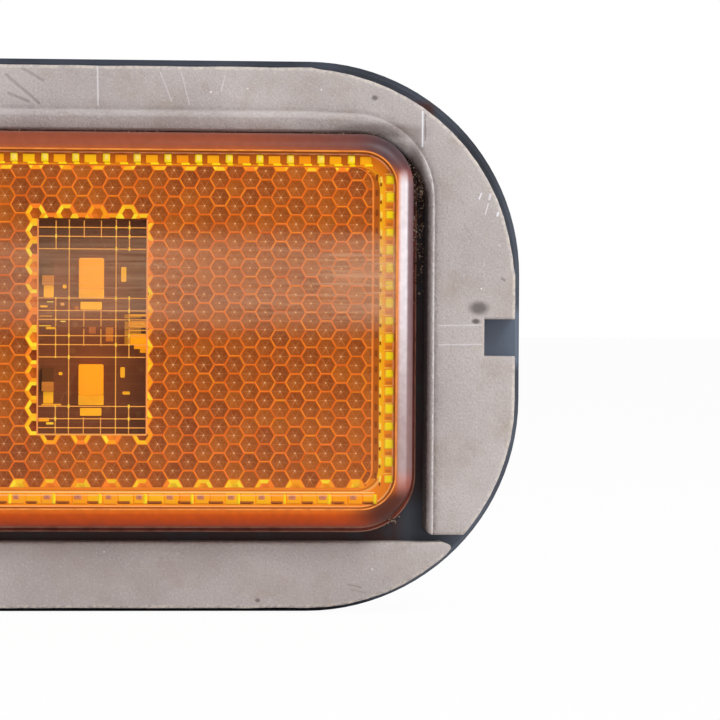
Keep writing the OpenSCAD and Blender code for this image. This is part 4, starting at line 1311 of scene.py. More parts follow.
# %% [markdown]
# ## Border of the prism field
# Between the field and the wall the lens has narrow steps, and rows of half prisms that
# catch the light as bright yellow blocks. The steps are bridged hoops, each in its own
# colour, and the blocks are small bevelled bricks set along them.

# %% Bricks


def brick(bm, layer, centre, size, shade, round_by=0.12):
    """A small block with softened edges; centre and size in mm."""
    made = bmesh.ops.create_cube(bm, size=1)["verts"]
    bmesh.ops.scale(bm, verts=made, vec=Vector(size) * mm)
    bmesh.ops.translate(bm, verts=made, vec=Vector(centre) * mm)
    edges = list({e for v in made for e in v.link_edges})
    softened = bmesh.ops.bevel(
        bm, geom=edges, offset=round_by * min(size) * mm, offset_type="OFFSET", segments=1, profile=0.5,
        affect="EDGES", material=-1,
    )
    faces = {f for v in softened["verts"] for f in v.link_faces}
    paint(faces, layer, shade)


print("bricks start from Blender's cube")

# %% Steps round the field
bm = bmesh.new()
shade_layer = bm.loops.layers.float_color.new("shade")
map_layer = bm.loops.layers.uv.new("cell")
steps = (
    (41.50, 25.80, -24.00, 5.4, -29.80, None, None, None),
    (40.55, 24.85, -23.10, 4.6, -29.45, "#f09450", "#cc6c1a", "#d87c1c"),
    (40.30, 24.52, -22.78, 4.4, -29.40, "#b85c14", "#a04c10", "#a04c0c"),
    (40.15, 24.38, -22.60, 4.3, -29.15, "#eca070", "#e6a07a", "#f0a860"),
    (39.10, 22.98, -20.90, 3.4, -29.00, "#e88a20", "#b0580e", "#e08c18"),
    (38.72, 22.84, -20.66, 3.2, -29.05, "#f4a820", "#d88a18", "#e8a050"),
    (38.36, 22.80, -20.50, 3.0, -29.00, "#f8b020", "#d87c1c", "#b8601c"),
    (37.62, 22.76, -20.34, 2.6, -28.80, "#a4501c", "#bc6218", "#d87a20"),
    (37.34, 22.68, -20.18, 2.4, -28.95, "#e07c34", "#e08038", "#f09838"),
)
hoops = [hoop(bm, -x, x, low, high, radius, y) for x, high, low, radius, y, *_ in steps]
for k, (outer, inner) in enumerate(zip(hoops, hoops[1:])):
    made = bmesh.ops.bridge_loops(bm, edges=outer + inner)["faces"]
    at_side, at_top, at_bottom = steps[k + 1][5:]
    for face in made:
        centre = face.calc_center_median() / mm
        if abs(centre.x) > 37.2 and -19 < centre.z < 21.5:
            paint([face], shade_layer, at_side)
        elif abs(centre.x) > 35.5 and k == 3:
            paint([face], shade_layer, "#e47c1c")
        else:
            paint([face], shade_layer, at_top if centre.z > 0 else at_bottom)
print("steps:", len(bm.faces), "faces")

# %% Blocks at the sides
random.seed(5)
for side in (-1, 1):
    for k in range(-9, 9):
        z = 2.11 + k * flats
        if not -20.4 < z < 21.6:
            continue
        wide, tall = random.uniform(1.05, 1.22), random.uniform(1.05, 1.3)
        block = random.choice(("#fff02c", "#ffea30", "#ffe020"))
        brick(bm, shade_layer, (side * 39.72, -29.35, z + 0.10), (wide, 0.6, tall), block, 0.25)
        brick(bm, shade_layer, (side * 39.74, -29.60, z + 0.14), (0.62, 0.2, 0.9), "#fff400", 0.35)
        brick(bm, shade_layer, (side * 39.55, -29.40, z + 0.86), (1.15, 0.3, 0.13), "#ffb848")
        brick(bm, shade_layer, (side * 38.52, -29.15, z + 0.12), (0.30, 0.4, 0.85), "#ffdc58", 0.25)
        brick(bm, shade_layer, (side * 38.50, -29.12, z - 0.55), (0.22, 0.3, 0.45), "#7a3008", 0.25)
        brick(bm, shade_layer, (side * 39.65, -29.15, z + 1.25), (0.72, 0.3, 0.34), "#c8702c")
        low = z + random.uniform(0.3, 0.7)
        brick(bm, shade_layer, (side * 37.98, -28.95, low), (0.32, 0.2, 0.8), "#74340f")
print("with side blocks:", len(bm.faces), "faces")

# %% Blocks along the top and bottom
for k in range(-9, 10):
    x = 1.75 + k * 4.088
    if abs(x) < 37.6:
        tone = random.choice(("#fff335", "#ffd820"))
        brick(bm, shade_layer, (x, -29.35, 23.72), (0.95, 0.6, 1.15), tone, 0.2)
        brick(bm, shade_layer, (x, -29.60, 23.80), (0.50, 0.2, 0.7), "#fff766", 0.3)
        brick(bm, shade_layer, (x + 0.15, -29.30, 22.95), (0.75, 0.5, 0.30), "#ffc810")
    if abs(x + 1.95) < 38:
        tone = random.choice(("#fbb300", "#f0a000", "#e88c10"))
        brick(bm, shade_layer, (x + 1.95, -29.30, 23.60), (1.55, 0.5, 1.10), tone)
        brick(bm, shade_layer, (x + 2.35, -29.35, 22.98), (1.10, 0.5, 0.28), "#ffd21a")
for k in range(-18, 19):
    x = 0.4 + k * 2.044
    if abs(x) > 37.6:
        continue
    tone = random.choice(("#f8a004", "#f2960c", "#f09010", "#ffac10", "#f49a20"))
    tall = random.uniform(1.30, 1.50)
    brick(bm, shade_layer, (x, -29.30, -21.72), (random.uniform(1.9, 2.04), 0.5, tall), tone, 0.25)
    if k % 3 == 0:
        across = random.uniform(0.5, 1.1)
        size = (random.uniform(0.25, 0.5), 0.6, 1.35)
        brick(bm, shade_layer, (x + across, -29.45, -21.72), size, "#ffd020", 0.3)
    shadow = (
        (-29.43, -22.15, 1.6, 2.2, 0.42, "#9a5020", 0.4), (-29.48, -22.25, 1.0, 1.5, 0.22, "#6a3012", 0.4),
    )
    gleam = (
        (-29.42, -21.45, 0.8, 1.1, 0.7, "#c87a5c", 0.3), (-29.46, -21.40, 0.4, 0.7, 0.5, "#b06a58", 0.3),
    )
    for y, z, narrow, broad, tall, tone, round_by in shadow if k % 2 == 0 else gleam:
        size = (random.uniform(narrow, broad), 0.5, tall)
        brick(bm, shade_layer, (x - 0.2, y, z), size, tone, round_by)
brick(bm, shade_layer, (0, -29.25, -20.83), (75.6, 0.3, 0.14), "#ffcf9a")
brick(bm, shade_layer, (0, -29.62, -21.22), (75.2, 0.1, 0.10), "#ffbe8a")
for face in bm.faces:
    for loop in face.loops:
        loop[map_layer].uv = (9, 9)
bmesh.ops.recalc_face_normals(bm, faces=bm.faces[:])
border_piece = piece("lens_border_prisms", bm, [amber_prisms], smooth=1)

# %% [markdown]
# ## LED window
# In front of each LED the inside of the lens has a square optic: thin ridges that cross like
# a ladder and spread the light. They show as bright threads over the dark inside, painted
# bright as painted light caught in the clear ridges. The lens's own thickness frames the opening.

# %% Window ridges
bm = bmesh.new()
shade_layer = bm.loops.layers.float_color.new("shade")
map_layer = bm.loops.layers.uv.new("cell")
# The threads are painted bright, brighter where ridges cross: painted light caught in the clear ridges
thread, thread_hot = "#f09c48", "#ffc23c"
for side, shade in ((window[0], "#e88a48"), (window[1], "#f09450")):
    brick(bm, shade_layer, (side, -28.2, 1.2), (0.22, 1.6, 28.7), shade)
brick(bm, shade_layer, (0, -28.2, window[3]), (14.5, 1.6, 0.14), "#5a2a18")
brick(bm, shade_layer, (0, -28.2, window[2]), (14.5, 1.6, 0.20), "#e8a050")
rungs = (3.28, 4.94, 6.14)
for led in (8.30, -6.12):
    for off in rungs:
        for side in (-1, 1):
            brick(bm, shade_layer, (0, -28.75, led + side * off), (14.3, 0.22, 0.13), thread)
    for off in (3.12, 4.88):
        for side in (-1, 1):
            if off < 4:
                brick(bm, shade_layer, (side * off, -28.85, led), (0.13, 0.2, 14.4), thread)
            else:
                for end in (-1, 1):
                    brick(bm, shade_layer, (side * off, -28.85, led + end * 5.1), (0.13, 0.2, 3.9), thread)
            for cross in rungs:
                for end in (-1, 1):
                    hot = (side * off, -28.95, led + end * cross)
                    tall = random.choice((0.16, 0.22, 0.5))
                    brick(bm, shade_layer, hot, (0.24, 0.1, tall), thread_hot)
    for side in (-1, 1):
        for end in (-1, 1):
            brick(bm, shade_layer, (side * 1.14, -28.8, led + end * 5.9), (0.12, 0.2, 2.3), thread)
print("threads:", len(bm.faces), "faces")

# %% Patches of light in the window
# Light that the lower right optic throws sideways shows as a yellow patch with lines in it
for x, z, width, tall, shade in (
    (6.1, 2.75, 2.3, 0.30, "#f0a028"), (6.1, 1.55, 2.3, 0.9, "#d88c28"), (6.1, 1.65, 1.8, 0.14, "#ffc838"),
    (6.0, 0.75, 2.4, 0.16, "#f0a030"), (6.15, -0.45, 2.2, 1.5, "#f0a01c"), (6.1, -0.2, 2.1, 0.16, "#ffc430"),
    (6.4, -1.50, 1.7, 0.5, "#e8961c"), (6.8, -2.0, 0.9, 0.5, "#e0901c"),
    (-5.5, 1.0, 1.3, 0.30, "#f0a828"), (-6.3, 1.3, 1.6, 0.14, "#ffc038"), (-6.2, 2.6, 1.7, 0.13, "#f0a038"),
    (-3.9, 1.9, 0.7, 0.18, "#ffc850"), (-6.4, -11.2, 1.4, 0.5, "#f0a020"), (-5.6, -11.7, 1.0, 0.3, "#ffc030"),
    (-4.0, 4.2, 0.5, 0.4, "#e8a050"), (-5.6, 4.5, 0.9, 0.16, "#ffd060"), (-5.4, -9.2, 2.6, 0.22, "#f0a030"),
    (0.0, 0.75, 0.9, 0.9, "#a85a34"), (2.3, 0.2, 1.0, 1.9, "#b8682c"), (-2.1, 3.6, 0.5, 0.7, "#b86a34"),
):
    brick(bm, shade_layer, (x, -28.45, z), (width, 0.12, tall), shade, 0.3)
for face in bm.faces:
    for loop in face.loops:
        loop[map_layer].uv = (9, 9)
ridges = piece("window_ridges", bm, [amber_prisms], smooth=1)
# Real amber acrylic passes light on to the board behind it, so these cast no shadow there
for clear_piece in (prisms, border_piece, ridges):
    clear_piece.visible_shadow = False

# %% [markdown]
# ## LEDs and their pads
# Each LED is a surface-mounted package: a moulded frame with a filled yellow phosphor window,
# bent lead feet, and gold-plated pads on the board below that reach out beneath it. Behind
# the amber they all read as bright yellow blocks. All three finishes are given a faint glow,
# painted light that makes up for the little light reaching them behind the amber.

# %% Phosphor
led_middles = {"upper": 8.4, "lower": -6.0}
bond_above = 1.05
material, tree, output = new_material("led_phosphor_silicone")
place = add(tree, "ShaderNodeTexCoord").outputs["Object"]
grain = add(tree, "ShaderNodeTexNoise", {"Vector": place, "Scale": 1 / (0.5 * mm), "Detail": 3.0})
grainy = add(tree, "ShaderNodeMapRange", {"Value": grain.outputs["Fac"], "From Min": 0.35, "From Max": 0.7})
colour = stain(tree, grainy.outputs[0], 0.35, linear("#ffc420"), linear("#fa9c14"))
# A bond line crosses each window near its top
height = add(tree, "ShaderNodeSeparateXYZ", {0: place}).outputs["Z"]
for middle in led_middles.values():
    bond = (middle + bond_above) * mm
    line = add(tree, "ShaderNodeMath", {0: height, 1: bond, 2: 0.14 * mm}, operation="COMPARE")
    colour = stain(tree, line.outputs[0], 0.75, colour, linear("#a8581c"))
# A faint glow: painted light
phosphor = add(
    tree, "ShaderNodeBsdfPrincipled",
    {"Base Color": colour, "Roughness": 0.35, "IOR": 1.41,
     "Emission Color": colour, "Emission Strength": 0.62},
)
finish_with(tree, output, phosphor)
led_phosphor = material
print("made", led_phosphor.name)

# %% LED frame and gold plating
material, tree, output = new_material("led_frame_moulded_epoxy")
place = add(tree, "ShaderNodeTexCoord").outputs["Object"]
grain = add(tree, "ShaderNodeTexNoise", {"Vector": place, "Scale": 1 / (0.35 * mm), "Detail": 3.0})
colour = stain(tree, grain.outputs["Fac"], 0.8, linear("#fab428"), linear("#e8901c"))
# The frame glows faintly too: painted light
frame_shader = add(
    tree, "ShaderNodeBsdfPrincipled",
    {"Base Color": colour, "Roughness": 0.5, "Emission Color": colour, "Emission Strength": 0.5},
)
finish_with(tree, output, frame_shader)
led_frame = material

material, tree, output = new_material("gold_plated_copper")
place = add(tree, "ShaderNodeTexCoord").outputs["Object"]
dull = add(tree, "ShaderNodeTexNoise", {"Vector": place, "Scale": 1 / (0.8 * mm), "Detail": 4.0})
dull_rough = add(tree, "ShaderNodeMapRange", {"Value": dull.outputs["Fac"], "To Min": 0.3, "To Max": 0.6})
colour = stain(tree, dull.outputs["Fac"], 0.5, linear("#ffc83c"), linear("#f4a830"))
# The pads glow faintly: painted light
gold = add(
    tree, "ShaderNodeBsdfPrincipled",
    {"Base Color": colour, "Metallic": 0.2, "Roughness": dull_rough.outputs[0],
     "Emission Color": colour, "Emission Strength": 0.5},
)
finish_with(tree, output, gold)
gold_plate = material
print("made", led_frame.name, gold_plate.name)

# %% LED packages
for name, middle in led_middles.items():
    bm = bmesh.new()
    body = outline(bm, -1.7, 1.7, middle - 2.1, middle + 2.1, 0.25, -19.35, steps=3)
    drawn = bmesh.ops.extrude_face_region(bm, geom=[body])["geom"]
    top_verts = [g for g in drawn if isinstance(g, bmesh.types.BMVert)]
    top = next(g for g in drawn if isinstance(g, bmesh.types.BMFace))
    bmesh.ops.translate(bm, verts=top_verts, vec=(0, -1.65 * mm, 0))
    bmesh.ops.bevel(
        bm, geom=top.edges[:], offset=0.12 * mm, offset_type="OFFSET", segments=2, profile=0.5,
        affect="EDGES", material=-1,
    )
    top = min(bm.faces, key=lambda f: f.calc_center_median().y - f.calc_area() * 1e3)
    bmesh.ops.inset_region(bm, faces=[top], thickness=0.16 * mm, depth=0)
    bmesh.ops.inset_region(bm, faces=[top], thickness=0.10 * mm, depth=-0.12 * mm)
    top.material_index = 1
    for side in (-1, 1):
        for up in (-1.2, 0, 1.2):
            x, z = side * 1.25, middle + up
            foot = outline(bm, x - 0.3, x + 0.3, z - 0.3, z + 0.3, 0.08, -19.36, steps=2)
            feet = bmesh.ops.extrude_face_region(bm, geom=[foot])["geom"]
            foot_verts = [g for g in feet if isinstance(g, bmesh.types.BMVert)]
            bmesh.ops.translate(bm, verts=foot_verts, vec=(0, 0.12 * mm, 0))
    bmesh.ops.recalc_face_normals(bm, faces=bm.faces[:])
    piece(
        "led_package_" + name, bm, [led_frame, led_phosphor], smooth=40,
        replaces=["led_" + name],
    )
print("LEDs at", list(led_middles.values()), "mm")

# %% Gold pads round the LEDs
bm = bmesh.new()
for middle in led_middles.values():
    for left, right, bottom, top_of in (
        (-1.68, 1.74, middle - 3.45, middle - 2.02), (-1.45, 1.45, middle - 4.9, middle - 3.85),
    ):
        pad = outline(bm, left, right, bottom, top_of, 0.12, -19.2, steps=2)
        drawn = bmesh.ops.extrude_face_region(bm, geom=[pad])["geom"]
        pad_verts = [g for g in drawn if isinstance(g, bmesh.types.BMVert)]
        bmesh.ops.translate(bm, verts=pad_verts, vec=(0, -0.07 * mm, 0))
for x, z, width, height in (
    (-5.75, 5.95, 1.35, 1.6), (-5.75, -8.45, 1.35, 1.6), (4.4, 8.3, 0.7, 2.0), (4.8, -7.8, 1.0, 0.4),
    (-3.6, 6.6, 0.5, 0.5), (-4.1, -5.2, 0.5, 0.4), (4.3, -5.0, 0.6, 1.4), (-6.4, 3.9, 1.0, 0.25),
):
    pad = outline(bm, x - width / 2, x + width / 2, z - height / 2, z + height / 2, 0.1, -19.2, steps=2)
    drawn = bmesh.ops.extrude_face_region(bm, geom=[pad])["geom"]
    pad_verts = [g for g in drawn if isinstance(g, bmesh.types.BMVert)]
    bmesh.ops.translate(bm, verts=pad_verts, vec=(0, -0.05 * mm, 0))
bmesh.ops.recalc_face_normals(bm, faces=bm.faces[:])
piece("board_pads", bm, [gold_plate], smooth=30)

# %% [markdown]
# ## Circuit board
# The board is glass-epoxy laminate under a dark solder mask. Copper tracks raise the mask a
# little and show as slightly lighter bands, and plated holes dot it. A brick pattern with
# thin mortar stands for the tracks, at 1.3 mm apart.

# %% Board laminate
material, tree, output = new_material("fr4_laminate_solder_mask")
place = add(tree, "ShaderNodeTexCoord").outputs["Object"]
flat = add(tree, "ShaderNodeMapping", {"Vector": place, "Rotation": (math.pi / 2, 0, 0)})
tracks = add(
    tree, "ShaderNodeTexBrick",
    {"Vector": flat.outputs[0], "Scale": 1.0,
     "Mortar Size": 0.14 * mm, "Brick Width": 7.4 * mm, "Row Height": 1.3 * mm,
     "Color1": linear("#ffffff"), "Color2": linear("#e0e0e0"), "Mortar": linear("#000000")},
)
cloud = add(tree, "ShaderNodeTexNoise", {"Vector": place, "Scale": 1 / (3.0 * mm), "Detail": 3.0})
colour = stain(tree, cloud.outputs["Fac"], 0.6, behind_amber("#9c5030"), behind_amber("#6a3628"))
colour = stain(tree, tracks.outputs["Fac"], 0.35, colour, behind_amber("#9c5a34"))
holes = add(
    tree, "ShaderNodeTexVoronoi", {"Vector": flat.outputs[0], "Scale": 1 / (4.2 * mm)},
    voronoi_dimensions="2D",
)
hole = add(
    tree, "ShaderNodeMapRange", {"Value": holes.outputs["Distance"], "From Min": 0.11, "From Max": 0.08}
)
colour = stain(tree, hole.outputs[0], 0.2, colour, behind_amber("#c08040"))
bump = add(
    tree, "ShaderNodeBump", {"Height": tracks.outputs["Fac"], "Strength": 0.3, "Distance": 0.04 * mm},
    invert=True,
)
board = add(
    tree, "ShaderNodeBsdfPrincipled",
    {"Base Color": colour, "Roughness": 0.38, "IOR": 1.55, "Normal": bump.outputs[0]},
)
finish_with(tree, output, board)
board_laminate = material


def dress(node, material):
    """Gives a solid from the packed model another finish, without touching its mesh."""
    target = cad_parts[node]
    for slot_of in target.material_slots:
        slot_of.material = material


dress("circuit_board", board_laminate)
print("dressed circuit_board")

# %% [markdown]
# ## Backing frame
# Behind the prisms lies a dark ABS frame that keeps stray light in. Its face is dulled and
# slightly dusty, so only a faint warm grey comes back.

# %% Backing frame
material, tree, output = new_material("abs_dark_moulded")
place = add(tree, "ShaderNodeTexCoord").outputs["Object"]
cloud = add(tree, "ShaderNodeTexNoise", {"Vector": place, "Scale": 1 / (2.4 * mm), "Detail": 5.0})
ramp_node = add(tree, "ShaderNodeValToRGB", {"Fac": cloud.outputs["Fac"]})
ramp_node.color_ramp.elements[0].position, ramp_node.color_ramp.elements[0].color = 0.3, linear("#2a2226")
ramp_node.color_ramp.elements[1].position, ramp_node.color_ramp.elements[1].color = 0.7, linear("#4a3a3c")
grain = add(tree, "ShaderNodeTexNoise", {"Vector": place, "Scale": 1 / (0.3 * mm), "Detail": 2.0})
bump = add(tree, "ShaderNodeBump", {"Height": grain.outputs["Fac"], "Strength": 0.2, "Distance": 0.05 * mm})
shell_plastic = add(
    tree, "ShaderNodeBsdfPrincipled",
    {"Base Color": ramp_node.outputs["Color"], "Roughness": 0.5, "IOR": 1.54, "Normal": bump.outputs[0]},
)
finish_with(tree, output, shell_plastic)
dress("backing_frame", material)
print("dressed backing_frame")

# %% [markdown]
# ## Parts on the board
# The chips are moulded or ceramic bodies with tinned ends. Their ends are found by height on
# the lamp, so one material serves both resistors. The tantalum capacitor is a yellow block
# with a polarity band.

# %% Chip finishes


def banded(name, body, dark, band, edges, roughness):
    """A clouded body colour with tinned bands between pairs of heights in mm."""
    material, tree, output = new_material(name)
    place = add(tree, "ShaderNodeTexCoord").outputs["Object"]
    cloud = add(tree, "ShaderNodeTexNoise", {"Vector": place, "Scale": 1 / (0.4 * mm), "Detail": 3.0})
    colour = stain(tree, cloud.outputs["Fac"], 0.7, linear(body), linear(dark))
    height = add(tree, "ShaderNodeSeparateXYZ", {0: place}).outputs["Z"]
    for low, high in edges:
        inside = add(
            tree, "ShaderNodeMath", {0: height, 1: (low + high) / 2 * mm, 2: (high - low) / 2 * mm},
            operation="COMPARE",
        )
        colour = stain(tree, inside.outputs[0], 1.0, colour, linear(band))
    bump = add(
        tree, "ShaderNodeBump", {"Height": cloud.outputs["Fac"], "Strength": 0.15, "Distance": 0.03 * mm},
    )
    shader = add(
        tree, "ShaderNodeBsdfPrincipled",
        {"Base Color": colour, "Roughness": roughness, "IOR": 1.55, "Normal": bump.outputs[0]},
    )
    finish_with(tree, output, shader)
    return material


resistor_ends = ((6.8, 8.1), (-7.6, -6.3))
resistor_finish = banded("alumina_chip_resistor", "#8a5038", "#5a382c", "#ffb070", resistor_ends, 0.45)
tantalum_bands = ((1.9, 2.35), (0.75, 0.85), (-0.2, -0.1))
tantalum_finish = banded("tantalum_moulded_yellow", "#f8c050", "#e89c30", "#7a3c10", tantalum_bands, 0.4)
epoxy_ends = ((2.9, 3.3), (7.1, 7.5), (-5.2, -4.8), (-0.8, -0.4))
epoxy_finish = banded("black_moulded_epoxy", "#1b1b1d", "#2b2a2c", "#b9b4ae", epoxy_ends, 0.5)
for node in ("resistor_upper", "resistor_lower"):
    dress(node, resistor_finish)
dress("tantalum_capacitor", tantalum_finish)
for node in ("blocking_diode", "surge_suppressor"):
    dress(node, epoxy_finish)
print("dressed the chips")

# %% [markdown]
# ## Metal, potting and the vent
# Screws and studs are zinc-plated steel: pale metal with a faint bluish and yellowish drift
# from the passivation, duller in the threads. The terminals are tinned brass. Potting resin
# has sagged glossy and dark around them. The vent is a white fluoropolymer membrane under a
# black cap.

# %% Zinc plating
material, tree, output = new_material("zinc_plated_steel")
place = add(tree, "ShaderNodeTexCoord").outputs["Object"]
drift = add(tree, "ShaderNodeTexNoise", {"Vector": place, "Scale": 1 / (2.5 * mm), "Detail": 4.0})
drift_ramp = add(tree, "ShaderNodeValToRGB", {"Fac": drift.outputs["Fac"]})
ramp = drift_ramp.color_ramp
ramp.elements[0].position, ramp.elements[0].color = 0.3, linear("#aab2ba")
ramp.elements[1].position, ramp.elements[1].color = 0.72, linear("#cfcab4")
ramp.elements.new(0.5).color = linear("#c4c9cc")
fine = add(tree, "ShaderNodeTexNoise", {"Vector": place, "Scale": 1 / (0.3 * mm), "Detail": 3.0})
rough = add(tree, "ShaderNodeMapRange", {"Value": fine.outputs["Fac"], "To Min": 0.26, "To Max": 0.5})
bump = add(tree, "ShaderNodeBump", {"Height": fine.outputs["Fac"], "Strength": 0.12, "Distance": 0.03 * mm})
zinc = add(
    tree, "ShaderNodeBsdfPrincipled",
    {"Base Color": drift_ramp.outputs["Color"], "Metallic": 1.0,
     "Roughness": rough.outputs[0], "Normal": bump.outputs[0]},
)
finish_with(tree, output, zinc)
zinc_plating = material
dress("board_screws", zinc_plating)
print("made", zinc_plating.name)

# %% Tinned terminals
material, tree, output = new_material("tinned_brass_drawn")
place = add(tree, "ShaderNodeTexCoord").outputs["Object"]
drawn = add(tree, "ShaderNodeMapping", {"Vector": place, "Scale": (3000.0, 120.0, 3000.0)})
lines = add(tree, "ShaderNodeTexNoise", {"Vector": drawn.outputs[0], "Scale": 1.0, "Detail": 4.0})
colour = stain(tree, lines.outputs["Fac"], 0.5, linear("#d4d2cc"), linear("#b4a88c"))
rough = add(tree, "ShaderNodeMapRange", {"Value": lines.outputs["Fac"], "To Min": 0.22, "To Max": 0.42})
tin = add(
    tree, "ShaderNodeBsdfPrincipled",
    {"Base Color": colour, "Metallic": 1.0, "Roughness": rough.outputs[0]},
)
finish_with(tree, output, tin)
for node in ("terminal_supply", "terminal_ground"):
    dress(node, material)
print("dressed the terminals")

# %% Potting
material, tree, output = new_material("epoxy_potting_dark")
place = add(tree, "ShaderNodeTexCoord").outputs["Object"]
sag = add(tree, "ShaderNodeTexNoise", {"Vector": place, "Scale": 1 / (3.0 * mm), "Detail": 2.0})
bubbles = add(tree, "ShaderNodeTexVoronoi", {"Vector": place, "Scale": 1 / (1.1 * mm)})
bubble = add(
    tree, "ShaderNodeMapRange", {"Value": bubbles.outputs["Distance"], "From Min": 0.22, "From Max": 0.05},
)
colour = stain(tree, sag.outputs["Fac"], 0.8, linear("#15161a"), linear("#2c2a2a"))
relief = add(
    tree, "ShaderNodeMath", {0: bubble.outputs[0], 1: -0.6, 2: sag.outputs["Fac"]},
    operation="MULTIPLY_ADD",
)
bump = add(tree, "ShaderNodeBump", {"Height": relief.outputs[0], "Strength": 0.4, "Distance": 0.2 * mm})
resin = add(
    tree, "ShaderNodeBsdfPrincipled",
    {"Base Color": colour, "Roughness": 0.14, "IOR": 1.55, "Normal": bump.outputs[0]},
)
finish_with(tree, output, resin)
dress("terminal_potting", material)
print("dressed the potting")

# %% Vent membrane and cap
material, tree, output = new_material("eptfe_membrane")
place = add(tree, "ShaderNodeTexCoord").outputs["Object"]
fibres = add(
    tree, "ShaderNodeTexNoise",
    {"Vector": place, "Scale": 1 / (0.25 * mm), "Detail": 5.0, "Distortion": 1.5},
)
colour = stain(tree, fibres.outputs["Fac"], 0.7, linear("#f0efeb"), linear("#cfcdc6"))
bump = add(tree, "ShaderNodeBump", {"Height": fibres.outputs["Fac"], "Strength": 0.3, "Distance": 0.05 * mm})
film = add(
    tree, "ShaderNodeBsdfPrincipled",
    {"Base Color": colour, "Roughness": 0.8, "IOR": 1.35, "Normal": bump.outputs[0], "Sheen Weight": 0.15},
)
finish_with(tree, output, film)
dress("vent_membrane", material)
dress("vent_cap", housing_plastic)
print("dressed the membrane and the cap")

# %% [markdown]
# ## Threaded studs
# Each stud is a round-headed M5 bolt pressed into the housing. Its thread is a helix: one
# tooth profile, exactly one pitch long, is spun round the axis while it moves forward, so the
# turns join into one continuous ridge when doubles are merged.

# %% Studs
pitch = 0.8
for name, middle_x in (("left", -32.0), ("right", 32.0)):
    bm = bmesh.new()
    tooth = [(2.03, 0.0), (2.06, 0.06), (2.46, 0.36), (2.46, 0.46), (2.06, 0.76), (2.03, pitch)]
    turns, steps_round = 18, 28
    start_y = 0.5
    verts = [bm.verts.new(((middle_x + r) * mm, (start_y + y) * mm, 0)) for r, y in tooth]
    edges = [bm.edges.new(pair) for pair in zip(verts, verts[1:])]
    bmesh.ops.spin(
        bm, geom=verts + edges, cent=(middle_x * mm, 0, 0), axis=(0, 1, 0),
        dvec=(0, pitch / steps_round * mm, 0), angle=2 * math.pi * turns, steps=steps_round * turns,
        use_merge=False,
    )
    bmesh.ops.remove_doubles(bm, verts=bm.verts[:], dist=0.004 * mm)
    contour = [
        (0.0, -9.6), (4.1, -9.6), (4.5, -9.2), (4.5, -7.6), (4.3, -7.3), (2.9, -7.3), (2.9, 0.0), (2.5, 0.0),
        (2.45, 0.5), (2.03, 0.9), (2.03, 14.9), (2.3, 14.9), (2.35, 15.3), (1.75, 16.0), (0.0, 16.0),
    ]
    verts = [bm.verts.new(((middle_x + r) * mm, y * mm, 0)) for r, y in contour]
    edges = [bm.edges.new(pair) for pair in zip(verts, verts[1:])]
    bmesh.ops.spin(
        bm, geom=verts + edges, cent=(middle_x * mm, 0, 0), axis=(0, 1, 0), angle=2 * math.pi, steps=40,
        use_merge=True,
    )
    bmesh.ops.remove_doubles(bm, verts=bm.verts[:], dist=0.001 * mm)
    bmesh.ops.recalc_face_normals(bm, faces=bm.faces[:])
    piece("stud_threaded_" + name, bm, [zinc_plating], smooth=28, replaces=["stud_" + name])

# %% [markdown]
# ## Grit
# Road dirt has packed into the corner between lens and foam and along the foam's upper edge.
# Hundreds of tiny twenty-sided grains, each in its own brown, are strewn along those lines
# with a fixed seed, so the dirt falls the same way every time.

# %% Grit material
material, tree, output = new_material("road_grit")
shade = add(tree, "ShaderNodeAttribute", attribute_type="GEOMETRY", attribute_name="shade")
place = add(tree, "ShaderNodeTexCoord").outputs["Object"]
dusty = add(tree, "ShaderNodeTexNoise", {"Vector": place, "Scale": 1 / (0.12 * mm), "Detail": 2.0})
colour = stain(tree, dusty.outputs["Fac"], 0.5, shade.outputs["Color"], linear("#3a2a22"))
finish_with(tree, output, add(tree, "ShaderNodeBsdfPrincipled", {"Base Color": colour, "Roughness": 0.9}))
road_grit = material
print("made", road_grit.name)

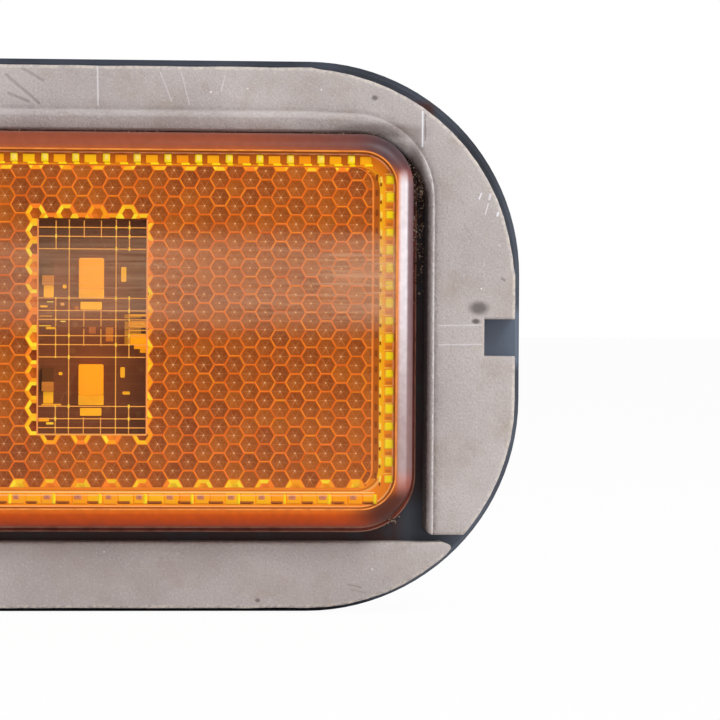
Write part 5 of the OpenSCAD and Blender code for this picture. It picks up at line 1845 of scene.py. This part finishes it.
# %% One grain
random.seed(23)
bm = bmesh.new()
shade_layer = bm.loops.layers.float_color.new("shade")
grit_tones = ("#3e2a24", "#644a3e", "#543c32", "#8a705c", "#b09078", "#dcc4a8", "#f4e2cc")
corner_x, corner_z, corner_radius = 36.0, 20.2, 7.1


def grain_at(x, y, z, size, tones=grit_tones):
    """One grain of dirt; place and size in mm."""
    turned = Matrix.Rotation(random.uniform(0, 6.28), 4, (random.random(), random.random(), 0.3))
    stretched = Matrix.Diagonal((1, random.uniform(0.6, 1), random.uniform(0.6, 1), 1))
    made = bmesh.ops.create_icosphere(
        bm, subdivisions=1, radius=size * mm,
        matrix=Matrix.Translation(Vector((x, y, z)) * mm) @ turned @ stretched,
    )["verts"]
    tone = linear(random.choice(tones))
    for face in {f for v in made for f in v.link_faces}:
        for loop in face.loops:
            loop[shade_layer] = tone


def corner_point(angle, out):
    """A point round the lens's upper right corner, some way out of its wall, in mm."""
    away = corner_radius + out
    return corner_x + away * math.cos(angle), corner_z + away * math.sin(angle)


print("grains have", len(grit_tones), "tones")

# %% Grit in the corners, along the wall and on the foam's edge
for k in range(1500):
    angle = random.triangular(-0.25, 1.5, 0.5)
    out = random.triangular(0.05, 2.1, 1.4)
    x, z = corner_point(angle, out)
    tones = grit_tones if random.random() < 0.35 else grit_tones[:5]
    for side in (1, -1):
        if side < 0 and random.random() < 0.4:
            continue
        grain_at(side * x, random.uniform(-23.3, -22.4) - 0.8 * out, z, random.uniform(0.06, 0.17), tones)
for k in range(420):
    z = random.triangular(2, 21, 19)
    side = random.choice((1, 1, 1, -1))
    grain_at(side * random.uniform(43.4, 45.0), random.uniform(-22.4, -21.4), z, random.uniform(0.06, 0.16))
for k in range(420):
    x = random.uniform(-39, 39)
    if noise.noise(Vector((x * 0.12, 3.0, 0))) < -0.12:
        continue
    grain_at(
        x, random.uniform(-25.2, -24.2), 27.42 + random.gauss(0, 0.10), random.uniform(0.05, 0.13),
        grit_tones[:5],
    )
for k in range(36):
    x, z = random.gauss(40.8, 0.5), random.gauss(-24.9, 0.25)
    grain_at(x, random.uniform(-22.0, -21.8), z, random.uniform(0.05, 0.13))
piece("road_grit_grains", bm, [road_grit], smooth=1)

# %% [markdown] ## Finish
